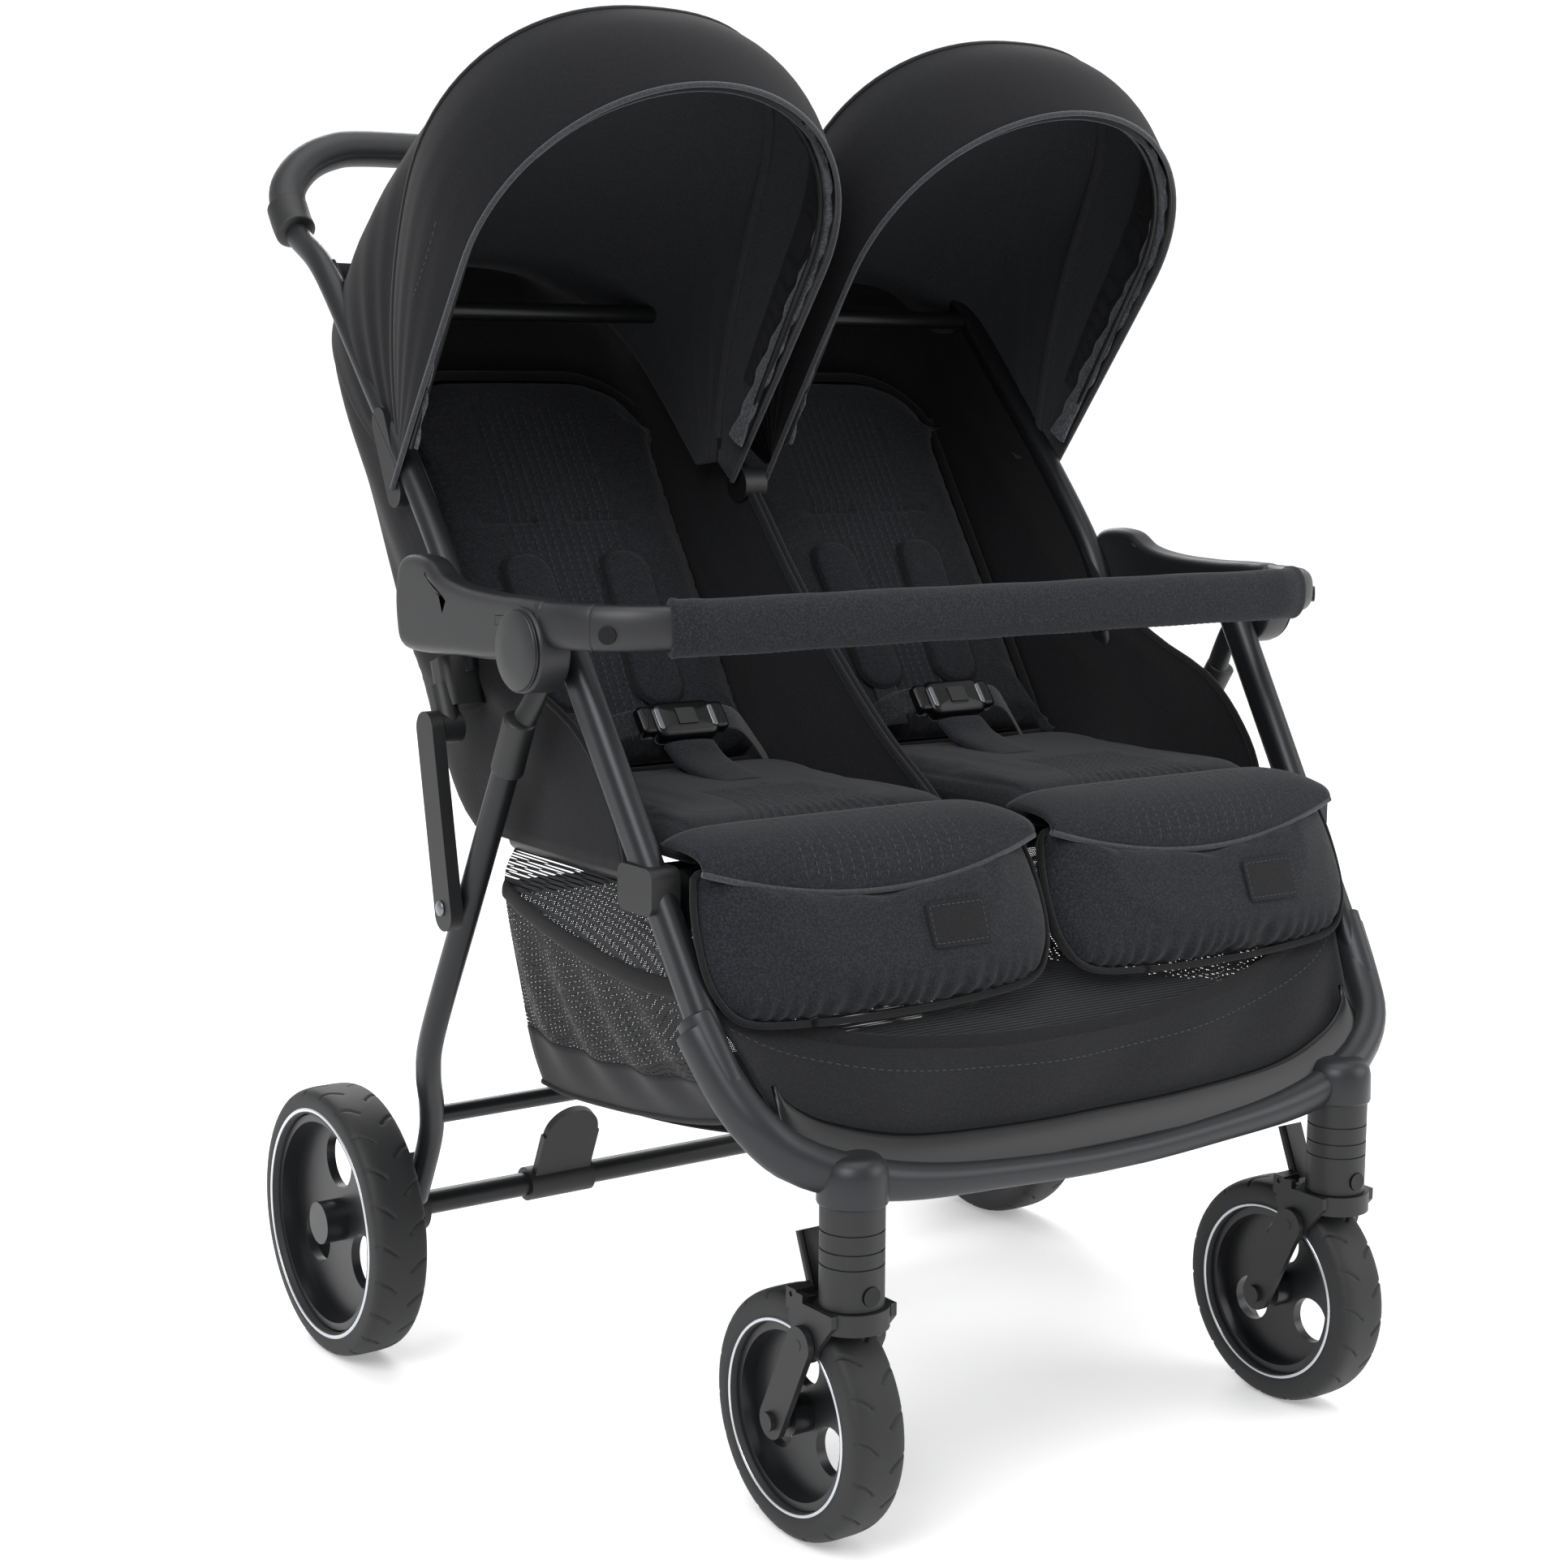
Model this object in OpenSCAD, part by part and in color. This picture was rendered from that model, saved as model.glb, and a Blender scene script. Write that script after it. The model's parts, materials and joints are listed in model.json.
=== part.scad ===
// Side-by-side twin stroller: folding frame, two seats, two canopies, basket.
// Millimetres. +Z up, the front faces -Y, the pusher's right is -X.
// Modules are written with Y = 0 at the rear axle; in_place() moves them so
// that the origin lies under the middle of the whole object.

/* [Wheels] */
// Width over the rear wheels
overall_w = 760; // [740:1:780]
// Distance from the rear axle to the front axles
wheelbase = 524; // [500:1:550]
// Rear wheel diameter
rear_wheel_d = 230; // [220:1:236]
// Rear tyre width
rear_wheel_w = 48; // [40:1:50]
// Front wheel diameter
front_wheel_d = 183; // [170:1:186]
// Front tyre width
front_wheel_w = 44; // [36:1:44]
// Distance between the two caster axes
front_track = 478; // [440:1:490]
// Trail of each caster
trail = 51; // [45:1:55]

/* [Frame] */
// Height of the main hub pivot
hub_z = 633; // [620:1:645]
// Distance of the main hub ahead of the rear axle
hub_ahead = 345; // [335:1:355]
// Width of the oval leg tubes
leg_w = 20; // [16:1:20]
// Depth of the oval leg tubes
leg_d = 28; // [22:1:30]
// Height of the handlebar's middle
handle_top_z = 1024; // [1000:1:1040]
// Outer diameter of the handlebar grip
grip_d = 31; // [28:1:34]

/* [Soft parts] */
// Width of one seat
seat_w = 270; // [250:2:274]
// Height of the seat surface
seat_z = 509; // [505:1:512]
// Lean of the backrest from upright, degrees
back_lean = 32.6; // [30:0.1:35]
// Radius of the canopy about its hubs
canopy_r = 385; // [370:1:390]
// Width of one canopy
canopy_w = 331; // [310:1:331]

/* [Hidden] */
$fn = 48;

// running clearance of every pin in its bore, and the gap between moving layers
run = 0.05;
gap = 0.6;

rear_r = rear_wheel_d / 2;
front_r = front_wheel_d / 2;
rear_x = overall_w / 2 - rear_wheel_w / 2;
caster_x = front_track / 2;
caster_y = -wheelbase - trail;
front_axle_z = front_r;
rear_inner_x = rear_x - rear_wheel_w / 2;

hub = [0, -hub_ahead, hub_z];
leg_x = 330;
leg_top = hub + [leg_x, 9, 15];
leg_foot = [312, -wheelbase + 2, 348];
arm_pivot = [0, -165, 665];
link_top = [0, -198, 560];
link_foot = [0, -221, 424];
hub_pin_r = 4;
arm_pin_r = 5;
axle_r = 6;
tube_r = 10.5;

grip_r = grip_d / 2;
bar_y = 160;
rear_extent = bar_y + grip_r;
front_extent = -wheelbase - front_r;
mid_y = (rear_extent + front_extent) / 2;

arm_x = 345;
arm_t = 23;
link_x = 362.2;
link_t = 10.6;

seat_x = 158;
back_hinge = [0, -150, 500];
calf_hinge = [0, -452, 478];
canopy_hub = [0, -85, 735];
canopy_x = 14 + canopy_w / 2;
panel_t = 5;
bow_lean_front = 37;
bow_lean_mid = 0;
bow_lean_split = 18;
bow_lean_rear = -34;
canopy_rear_r = 292;

// one part moved from axle coordinates to the object's own origin
module in_place() {
    translate([0, -mid_y, 0]) children();
}

// the same part on both sides of the middle plane
module both() {
    children();
    mirror([1, 0, 0]) children();
}

// side -1 is the pusher's right, +1 the left
module on_side(side) {
    if (side > 0) children();
    else mirror([1, 0, 0]) children();
}

// turns local +Z to the direction from p to q and starts it at p
module along(p, q) {
    v = q - p;
    translate(p)
        rotate([atan2(-v.y, v.z), 0, 0])
            rotate([0, asin(v.x / norm(v)), 0])
                children();
}

module rod(p, q, r, r2) {
    along(p, q) cylinder(r1 = r, r2 = r2 == undef ? r : r2, h = norm(q - p));
}

// round tube through a list of points, with ball joints at its bends
module tube(points, r) {
    for (i = [0 : len(points) - 2]) rod(points[i], points[i + 1], r);
    for (i = [1 : len(points) - 2]) translate(points[i]) sphere(r = r + 0.12);
}

// oval outline, w across X and d across Y
module oval(w, d) {
    square([w, d - w], center = true);
    for (s = [-1, 1]) translate([0, s * (d - w) / 2]) circle(d = w);
}

module oval_tube(p, q, w, d) {
    along(p, q) linear_extrude(norm(q - p)) oval(w, d);
}

// cylinder along X from x0 to x1, centred on the Y and Z of p
module pin_x(p, x0, x1, r) {
    translate([x0, p.y, p.z]) rotate([0, 90, 0]) cylinder(r = r, h = x1 - x0);
}

// outline drawn with +X forward along row Y and +Y up along row Z, extruded from x0 to x1
module plate_yz(x0, x1) {
    translate([x0, 0, 0]) rotate([90, 0, 90]) linear_extrude(x1 - x0) children();
}

// rounded rectangle outline, centred
module rounded(w, l, r) {
    square([w - 2 * r, l], center = true);
    square([w, l - 2 * r], center = true);
    for (sx = [-1, 1], sy = [-1, 1]) translate([sx * (w / 2 - r), sy * (l / 2 - r)]) circle(r = r);
}

// ---- front frame ----

module front_legs() {
    color("#2c2d30") in_place() both() difference() {
        oval_tube(leg_top, leg_foot, leg_w, leg_d);
        pin_x(hub, leg_x - 20, leg_x + 20, hub_pin_r + run);
    }
}

// where the front legs' slanted plane stands at height 262
leg_plane_y = -579;

// half of the cast front bow's centre line, from the leg foot to the middle, with its radius
cast_line = [[312, -525, 343], [298, -548, 314], [272, -562, 290], [235, -571, 276], [180, -578, 267]];
cast_r = 14;
cast_mid_r = 10.5;

module front_casting() {
    color("#313235") in_place() difference() {
        union() {
            both() {
                tube(cast_line, cast_r);
                translate(cast_line[4]) sphere(r = cast_r + 0.12);
                translate([caster_x, caster_y, 262.3]) cylinder(r = 25, h = 21);
            }
            pin_x(cast_line[4], -cast_line[4].x, cast_line[4].x, cast_mid_r);
        }
        both() translate([caster_x, caster_y, 255]) cylinder(r = 12, h = 20);
    }
}

// half outline in the slanted plane: along the casting, then back along the basket's edge
footboard_half = [[0, 1], [133, 4], [220, 9], [262, 27], [286, 56], [280, 92], [240, 58], [177, 39], [78, 32],
                  [0, 31]];

module footboard() {
    color("#0c0c0d") in_place()
        translate([0, leg_plane_y, 262]) rotate([57.6, 0, 0]) linear_extrude(4) both()
            polygon(footboard_half);
}

module hub_bolts() {
    color("#1b1c1e") in_place() both() pin_x(hub, leg_x - 12, arm_x + arm_t, hub_pin_r);
}

seat_tube_r = 8;
seat_rear = [300, -214, 470];
seat_front = [300, -428, 470];

module seat_frame() {
    color("#1a1b1d") in_place() {
        both() {
            tube([[0, seat_rear.y, seat_rear.z], seat_rear, seat_front, [0, seat_front.y, seat_front.z]],
                 seat_tube_r);
        }
    }
}

module seat_brackets() {
    color("#141416") in_place() both() {
        plate_yz(309, 333) translate([-440, 470]) rounded(46, 34, 8);
        plate_yz(292, 304) translate([-440, 446]) rounded(20, 64, 9);
    }
}

seat_len = 284;
seat_t = 26;

module seat_pads() {
    color("#26272b") in_place() both()
        translate([seat_x, back_hinge.y - 12 - seat_len / 2, seat_z - seat_t])
            linear_extrude(seat_t) rounded(seat_w, seat_len, 14);
}

crotch_foot = [150, -335, seat_z + 8.5];
crotch_top = [143, -228, seat_z + 29];

module crotch_pads() {
    color("#1d1d20") in_place() both()
        along(crotch_foot, crotch_top) linear_extrude(norm(crotch_top - crotch_foot)) rounded(52, 13, 6);
}

buckle_at = [140, -198, 549];
buckle_lean = 38;

module at_buckle() {
    translate(buckle_at) rotate([-buckle_lean, 0, 0]) children();
}

module buckles() {
    color("#0d0d0e") in_place() both() at_buckle() difference() {
        rotate([90, 0, 0]) translate([0, 0, -10]) linear_extrude(20) rounded(62, 36, 7);
        translate([0, -10, 0]) cube([18.6, 13, 14.6], center = true);
    }
}

module buckle_button(side) {
    color("#161617") in_place() on_side(side) at_buckle()
        translate([0, -7.9, 0]) cube([18, 6, 14], center = true);
}

module buckle_button_right() { buckle_button(-1); }
module buckle_button_left() { buckle_button(1); }

// basket corners on the left side: front rim, rear rim, rear floor, front floor
basket_w = [290, 314, 226, 262];
basket_y = [-524, -222, -116, -540];
basket_z = [340, 436, 242, 300];

// plate across the object from side to side of corner i, drawn in by inset t
module basket_edge(i, t) {
    w = basket_w[i] - t;
    translate([-w, basket_y[i], basket_z[i]]) rotate([0, 90, 0]) cylinder(r = 1, h = 2 * w, $fn = 8);
}

module basket() {
    wall = 4;
    color("#151517") in_place() difference() {
        hull() {
            basket_edge(0, 0);
            basket_edge(1, 0);
            basket_edge(2, 0);
            basket_edge(3, 0);
        }
        translate([0, 0, wall]) hull() {
            translate([0, 6, 12]) basket_edge(0, wall);
            translate([0, -6, 12]) basket_edge(1, wall);
            translate([0, -8, 0]) basket_edge(2, wall);
            translate([0, 8, 0]) basket_edge(3, wall);
        }
    }
}

column_r = 23.3;
column_z0 = 188;
column_z1 = 262;
stem_r = 8;
button_z = 199;

module caster_columns() {
    color("#2a2b2d") in_place() both() translate([caster_x, caster_y, 0]) difference() {
        union() {
            translate([0, 0, column_z0]) cylinder(r = column_r, h = column_z1 - column_z0);
            translate([0, 0, column_z1]) cylinder(r = 11.9, h = 12);
        }
        translate([0, 0, column_z0 - 1]) cylinder(r = stem_r + run, h = 66);
        for (z = [218.5, 229.5, 243]) translate([0, 0, z - 0.6]) difference() {
            cylinder(r = column_r + 1, h = 1.2);
            translate([0, 0, -1]) cylinder(r = column_r - 1, h = 4);
        }
        translate([0, -column_r, button_z]) rotate([90, 0, 0]) cylinder(r = 7.3, h = 20, center = true);
    }
}

module caster_button(side) {
    color("#1c1c1e") in_place() on_side(side) translate([caster_x, caster_y - column_r - 1, button_z])
        rotate([-90, 0, 0]) cylinder(r = 7, h = 6.5);
}

module caster_button_right() { caster_button(-1); }
module caster_button_left() { caster_button(1); }

// ---- arms and bumper bar ----

bar_z = 653;
bar_bend = 80;
bar_centre = [arm_x + arm_t / 2 - bar_bend, -366, bar_z];
joint_turn = 32;
cover_turn = 58;

// part of the bumper bar's quarter bend, from turn a0 to a1 degrees ahead of sideways
module bar_arc(w, d, a0, a1) {
    translate(bar_centre) rotate([0, 0, -a1]) rotate_extrude(angle = a1 - a0)
        translate([bar_bend, 0]) oval(w, d);
}

module arms() {
    color("#1f2022") in_place() both() difference() {
        union() {
            plate_yz(arm_x, arm_x + arm_t) {
                polygon([[-144, 664], [-145, 628], [-154, 618], [-345, 624], [-366, 636], [-366, 670],
                         [-260, 670], [-205, 680], [-176, 690]]);
                translate([arm_pivot.y, arm_pivot.z]) circle(r = 26);
                translate([hub.y, hub.z]) circle(r = 32);
            }
            bar_arc(arm_t - 1, 32.6, -3, joint_turn);
        }
        pin_x(hub, arm_x - 5, arm_x + 40, hub_pin_r + run);
        pin_x(arm_pivot, arm_x - 5, arm_x + 40, arm_pin_r + run);
    }
}

module arm_caps() {
    color("#242528") in_place() both() {
        pin_x(hub, arm_x + arm_t + 0.1, arm_x + arm_t + 5, 35);
        pin_x(arm_pivot, arm_x + arm_t + 0.1, arm_x + arm_t + 4, 20);
    }
}

// bumper bar from its sockets: plastic ends, then the slim core under the cover
module bumper_bar() {
    color("#1b1c1e") in_place() both() difference() {
        union() {
            bar_arc(arm_t, 34, joint_turn + 0.5, cover_turn);
            bar_arc(13, 27, cover_turn - 1, 90);
            translate([0, bar_centre.y - bar_bend, bar_z]) rotate([90, 0, 90]) linear_extrude(bar_centre.x)
                oval(13, 27);
        }
        at_bar_button() cylinder(r = button_r + 0.3, h = 18, center = true);
    }
}

module bumper_cover() {
    color("#2a2b2f") in_place() both() difference() {
        union() {
            bar_arc(26, 42, cover_turn + 0.5, 90);
            translate([0, bar_centre.y - bar_bend, bar_z]) rotate([90, 0, 90]) linear_extrude(bar_centre.x)
                oval(26, 42);
        }
        bar_arc(13.6, 27.6, cover_turn - 2, 90);
        translate([-1, bar_centre.y - bar_bend, bar_z]) rotate([90, 0, 90]) linear_extrude(bar_centre.x + 1)
            oval(13.6, 27.6);
    }
}

button_r = 6.5;

// local +Z points out of the bar's outer face at the release button
module at_bar_button() {
    turn = 41;
    r = bar_bend + arm_t / 2;
    translate(bar_centre + [r * cos(turn), -r * sin(turn), -4]) rotate([0, 0, -turn]) rotate([0, 90, 0])
        children();
}

module bar_button(side) {
    color("#101011") in_place() on_side(side) at_bar_button()
        translate([0, 0, -5]) cylinder(r = button_r, h = 6);
}

module bar_button_right() { bar_button(-1); }
module bar_button_left() { bar_button(1); }

// ---- handle frame ----

handle_x = 329;
handle_line = [[handle_x, link_top.y + 10, link_top.z + 40], [handle_x, arm_pivot.y, arm_pivot.z],
               [handle_x, -102, 745], [handle_x, 55, 915], [326, 122, 950], [325, 136, 966]];

module handle_tubes() {
    color("#26272a") in_place() both() {
        tube(handle_line, tube_r);
        pin_x(arm_pivot, handle_x, arm_x + arm_t - 0.5, arm_pin_r);
    }
}

bar_line = [[325, 136, 966], [318, 150, 986], [296, 158, 1008], [258, bar_y, handle_top_z]];

module handlebar_core() {
    both() {
        tube(bar_line, 9);
        translate(bar_line[3]) sphere(r = 9.12);
    }
    pin_x(bar_line[3], -258, 258, 9);
}

module handlebar() {
    color("#222326") in_place() handlebar_core();
}

// leatherette sleeve over the whole handlebar
module handle_grip() {
    color("#17171a") in_place() difference() {
        union() {
            both() {
                tube(bar_line, grip_r);
                translate(bar_line[0]) sphere(r = grip_r + 0.12);
                translate(bar_line[3]) sphere(r = grip_r + 0.12);
            }
            pin_x(bar_line[3], -258, 258, grip_r);
        }
        handlebar_core();
    }
}

module handle_sleeves() {
    color("#1a1a1d") in_place() both() difference() {
        union() {
            along([handle_x + 2, link_top.y + 6, link_top.z + 14], [handle_x + 2, -183, 600])
                linear_extrude(39) translate([6, 0]) rounded(34, 26, 8);
            oval_tube([352, link_top.y, link_top.z], [352, -184, 590], 18, 24);
            pin_x(link_top, 343.2, 361, 12);
        }
        rod(handle_line[0], handle_line[1], tube_r);
    }
}

module handle_crossbar() {
    color("#1d1e20") in_place() {
        both() rod([0, 26, 882], [handle_x - 9, 26, 882], 8);
        tube([[0, 26, 882], [0, -30, 790], [0, canopy_hub.y + 12, canopy_hub.z + 9]], 8);
    }
}

module canopy_mounts() {
    color("#0f0f10") in_place() {
        both() difference() {
            translate([330, 0, 0]) oval_strap([canopy_hub.y, canopy_hub.z], [-60, 790], 9.4, 24);
            rod(handle_line[2], handle_line[3], tube_r);
        }
        pin_x(canopy_hub, -11, 11, 15);
    }
}

// half-round-topped arch outline from the hub radius up, w wide
module arch(w, top, bottom) {
    translate([-w / 2, bottom]) square([w, top - w / 2 - bottom]);
    translate([0, top - w / 2]) circle(d = w, $fn = 96);
}

// shell swept about the hub axis from lean0 to lean1, degrees forward of upright
module canopy_panel(lean0, lean1) {
    translate([canopy_x, canopy_hub.y, canopy_hub.z]) rotate([0, 90, 0]) rotate([0, 0, 180 + lean0])
        rotate_extrude(angle = lean1 - lean0) rotate([0, 0, -90]) difference() {
            arch(canopy_w, canopy_r, 30);
            arch(canopy_w - 2 * panel_t, canopy_r - panel_t, 29);
        }
}

// thin slice of the canopy's arch standing at one lean
module arch_slice(w, r, lean, bottom = 30) {
    translate([canopy_x, canopy_hub.y, canopy_hub.z]) rotate([lean, 0, 0]) rotate([90, 0, 0])
        linear_extrude(0.5) arch(w, r, bottom);
}

module canopy_rears() {
    color("#141417") in_place() both() difference() {
        hull() {
            arch_slice(canopy_w, canopy_r, bow_lean_mid - 1.8);
            arch_slice(canopy_w - 12, canopy_rear_r, bow_lean_rear);
        }
        hull() {
            arch_slice(canopy_w - 2 * panel_t, canopy_r - panel_t, bow_lean_mid, -60);
            arch_slice(canopy_w - 12 - 2 * panel_t, canopy_rear_r - panel_t, bow_lean_rear - 2, -60);
        }
    }
}

module canopy_mid(side) {
    color("#141417") in_place() on_side(side) canopy_panel(bow_lean_mid, bow_lean_split);
}

module canopy_front(side) {
    color("#141417") in_place() on_side(side) canopy_panel(bow_lean_split + 1, bow_lean_front);
}

module canopy_mid_right() { canopy_mid(-1); }
module canopy_mid_left() { canopy_mid(1); }
module canopy_front_right() { canopy_front(-1); }
module canopy_front_left() { canopy_front(1); }

// sprung bow in the canopy's front hem
module front_bow(side) {
    w = canopy_w - 2 * panel_t - 8;
    color("#1a1a1c") in_place() on_side(side)
        translate([canopy_x, canopy_hub.y, canopy_hub.z]) rotate([bow_lean_front - 3, 0, 0]) {
            for (s = [-1, 1]) translate([s * w / 2, 0, 44]) cylinder(r = 2.5, h = canopy_r - panel_t - 48 - w / 2);
            translate([0, 0, canopy_r - panel_t - 4 - w / 2]) rotate([90, 0, 0])
                rotate_extrude(angle = 180) translate([w / 2, 0]) circle(r = 2.5);
        }
}

module front_bow_right() { front_bow(-1); }
module front_bow_left() { front_bow(1); }

// ---- rear frame ----

rear_line = [[352, -309, 574], [348, -215, 416], [345, -150, 308], [337, -125, 268], [322, -100, 232],
             [312, -76, 196], [308, -40, 136]];

module rear_legs() {
    color("#2c2d30") in_place() both() difference() {
        union() {
            tube(rear_line, 10);
            pin_x(hub, 340.8, 344.4, 18);
            translate([340.8, 0, 0]) oval_strap([hub.y, hub.z], [-309, 574], 3.6, 20);
            pin_x([0, -309, 574], 340.9, 351, 11.5);
            pin_x(link_foot, 345, link_x + link_t + 0.4, 4);
        }
        pin_x(hub, 330, 350, hub_pin_r + run);
    }
}

// flat strap in the YZ plane from a to b, t thick along X and w wide, with round ends
module oval_strap(a, b, t, w) {
    rotate([90, 0, 90]) linear_extrude(t) {
        translate(a) circle(d = w);
        translate(b) circle(d = w);
        translate(a) rotate(atan2(b.y - a.y, b.x - a.x)) translate([0, 0.1 - w / 2])
            square([norm(b - a), w - 0.2]);
    }
}

module rear_axle() {
    color("#151517") in_place() both() {
        rod([0, 0, rear_r], [rear_inner_x - 6, 0, rear_r], tube_r);
        rod([rear_inner_x - 6, 0, rear_r], [rear_x + 20, 0, rear_r], axle_r);
    }
}

module rear_cross_tube() {
    color("#18191b") in_place() both() rod([0, -94, 222], [313, -94, 222], 7.5);
}

module axle_housings() {
    color("#111112") in_place() both() difference() {
        union() {
            pin_x([0, 0, rear_r], 284, rear_inner_x - 4, 22);
            along([305, -8, 125], [309, -46, 172]) linear_extrude(44) rounded(28, 34, 8);
        }
        rod([280, 0, rear_r], [rear_inner_x, 0, rear_r], tube_r);
        tube(rear_line, 10);
    }
}

module fold_links() {
    color("#1d1e21") in_place() both() translate([link_x, 0, 0]) difference() {
        oval_strap([link_top.y, link_top.z], [link_foot.y - 3, link_foot.z - 4], link_t, 27);
        pin_x(link_foot, -1, link_t + 1, 4 + run);
    }
}

pedal_x = -148;

module brake_pedal() {
    color("#0e0e0f") in_place() difference() {
        union() {
            pin_x([0, 0, rear_r], pedal_x - 32, pedal_x + 32, 15);
            translate([pedal_x, -4, rear_r]) rotate([24, 0, 0]) translate([0, 0, 10])
                rotate([90, 0, 0]) linear_extrude(7, center = true) {
                    translate([0, 22]) square([56, 44], center = true);
                    translate([0, 44]) circle(r = 26);
                }
        }
        pin_x([0, 0, rear_r], pedal_x - 40, pedal_x + 40, tube_r + run);
    }
}

// ---- wheels ----

// round tyre section from its bead radius to the tread
module tyre_outline(r, w, bead) {
    translate([bead, -w / 2 + 6]) square([r - bead - 12, w - 12]);
    translate([bead + 6, -w / 2]) square([r - bead - 18, w]);
    for (s = [-1, 1]) {
        translate([r - 12, s * (w / 2 - 12)]) circle(r = 12);
        translate([bead + 6, s * (w / 2 - 6)]) circle(r = 6);
    }
    translate([r - 12, -w / 2 + 12]) square([12, w - 24]);
}

module tyre(r, w, bead) {
    rotate([0, 90, 0]) rotate_extrude($fn = 96) tyre_outline(r, w, bead);
}

// rim with a thin web that has three round windows
module rim(bead, w, hub_r, hub_w, bore, hole_r, hole_at) {
    difference() {
        rotate([0, 90, 0]) {
            rotate_extrude($fn = 96) {
                translate([bead - 6, -w / 2]) square([6, w]);
                translate([hub_r - 2, -4]) square([bead - hub_r, 8]);
            }
            cylinder(r = hub_r, h = hub_w, center = true);
        }
        rotate([0, 90, 0]) cylinder(r = bore + run, h = hub_w + 2, center = true);
        for (a = [90, 210, 330]) rotate([a, 0, 0]) translate([0, hole_at, 0]) rotate([0, 90, 0])
            cylinder(r = hole_r, h = 20, center = true);
    }
}

module at_rear_wheel(side) {
    translate([side * rear_x, 0, rear_r]) children();
}

rear_bead = 92;

module rear_tyre(side) {
    color("#101011") in_place() at_rear_wheel(side) tyre(rear_r, rear_wheel_w, rear_bead);
}

module rear_rim(side) {
    color("#19191b") in_place() at_rear_wheel(side) {
        rim(rear_bead, 38, 18, 44, axle_r, 24, 52);
        translate([side * 22, 0, 0]) rotate([0, side * 90, 0]) cylinder(r = 18, h = 1.9);
    }
}

module rear_tyre_right() { rear_tyre(-1); }
module rear_tyre_left() { rear_tyre(1); }
module rear_rim_right() { rear_rim(-1); }
module rear_rim_left() { rear_rim(1); }

front_bead = 68;
front_axle_r = 4.5;

module at_front_wheel(side) {
    translate([side * caster_x, -wheelbase, front_axle_z]) children();
}

module front_tyre(side) {
    color("#101011") in_place() at_front_wheel(side) tyre(front_r, front_wheel_w, front_bead);
}

module front_rim(side) {
    color("#19191b") in_place() at_front_wheel(side) rim(front_bead, 34, 14, 42, front_axle_r, 18, 38);
}

module front_tyre_right() { front_tyre(-1); }
module front_tyre_left() { front_tyre(1); }
module front_rim_right() { front_rim(-1); }
module front_rim_left() { front_rim(1); }

// ---- casters ----

knee = [0, -557, 158];
plate_in = 23.2;
plate_t = 5;
lower_in = plate_in + plate_t + 0.6;
lower_t = 5;
tyre_clear = 98.5;

module yoke(side) {
    color("#161617") in_place() translate([side * caster_x, 0, 0]) difference() {
        union() {
            translate([0, caster_y, 172]) cylinder(r = 27, h = column_z0 - 172 - gap);
            translate([0, caster_y, 175]) cylinder(r = stem_r, h = 72);
            both() {
                plate_yz(plate_in, plate_in + plate_t) {
                    translate([knee.y, knee.z]) circle(r = 14);
                    polygon([[-571, 156], [-590, 178], [-590, 187], [-545, 187], [-538, 176], [-543, 160]]);
                }
                pin_x(knee, plate_in, lower_in + lower_t + 0.3, 4);
            }
            // lip behind the column that carries the swivel lock
            translate([0, -541, 190]) cube([2 * (plate_in + plate_t), 12, 9], center = true);
            both() translate([plate_in + plate_t / 2, -545, 186]) cube([plate_t, 20, 14], center = true);
        }
        translate([0, -wheelbase, front_axle_z]) rotate([0, 90, 0])
            cylinder(r = tyre_clear, h = 2 * plate_in, center = true, $fn = 96);
        pin_x([0, -541, 190], -40, 40, 2 + run);
        translate([0, -541, 190]) cube([22.6, 14, 10], center = true);
    }
}

module yoke_right() { yoke(-1); }
module yoke_left() { yoke(1); }

module suspension_arm(side) {
    color("#1a1a1c") in_place() translate([side * caster_x, 0, 0]) both() difference() {
        union() {
            translate([lower_in, 0, 0]) oval_strap([knee.y, knee.z], [-wheelbase, front_axle_z], lower_t, 27);
            pin_x([0, -wheelbase, front_axle_z], 0, lower_in + lower_t + 4, front_axle_r);
            pin_x([0, -wheelbase, front_axle_z], 21.6, lower_in + 1, 8);
            pin_x([0, -wheelbase, front_axle_z], lower_in + lower_t, lower_in + lower_t + 4, 7);
        }
        pin_x(knee, lower_in - 1, lower_in + lower_t + 1, 4 + run);
    }
}

module suspension_arm_right() { suspension_arm(-1); }
module suspension_arm_left() { suspension_arm(1); }

module swivel_lock(side) {
    color("#0e0e0f") in_place() translate([side * caster_x, -541, 190]) {
        rotate([0, 90, 0]) cylinder(r = 2, h = 2 * plate_in + 8, center = true);
        rotate([-22, 0, 0]) translate([0, 2, 20]) rounded_block(22, 8, 44, 3);
    }
}

module rounded_block(w, d, h, r) {
    translate([0, 0, -h / 2]) linear_extrude(h) rounded(w, d, r);
}

module swivel_lock_right() { swivel_lock(-1); }
module swivel_lock_left() { swivel_lock(1); }

// ---- seats ----

back_t = 30;
back_len = 385;
back_front = -7;

// local +Z runs up the backrest and +Y to its rear
module at_back(side) {
    translate([side * seat_x, back_hinge.y, back_hinge.z]) rotate([-back_lean, 0, 0]) children();
}

module backrest(side) {
    color("#26272b") in_place() at_back(side)
        translate([0, back_front + back_t, 16]) rotate([90, 0, 0]) linear_extrude(back_t) {
            translate([-seat_w / 2, 0]) square([seat_w, back_len - 90 - 16]);
            translate([-seat_w / 2 + 90, 0]) square([seat_w - 180, back_len - 16]);
            for (s = [-1, 1]) translate([s * (seat_w / 2 - 90), back_len - 16 - 90]) circle(r = 90);
        }
}

module backrest_right() { backrest(-1); }
module backrest_left() { backrest(1); }

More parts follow.
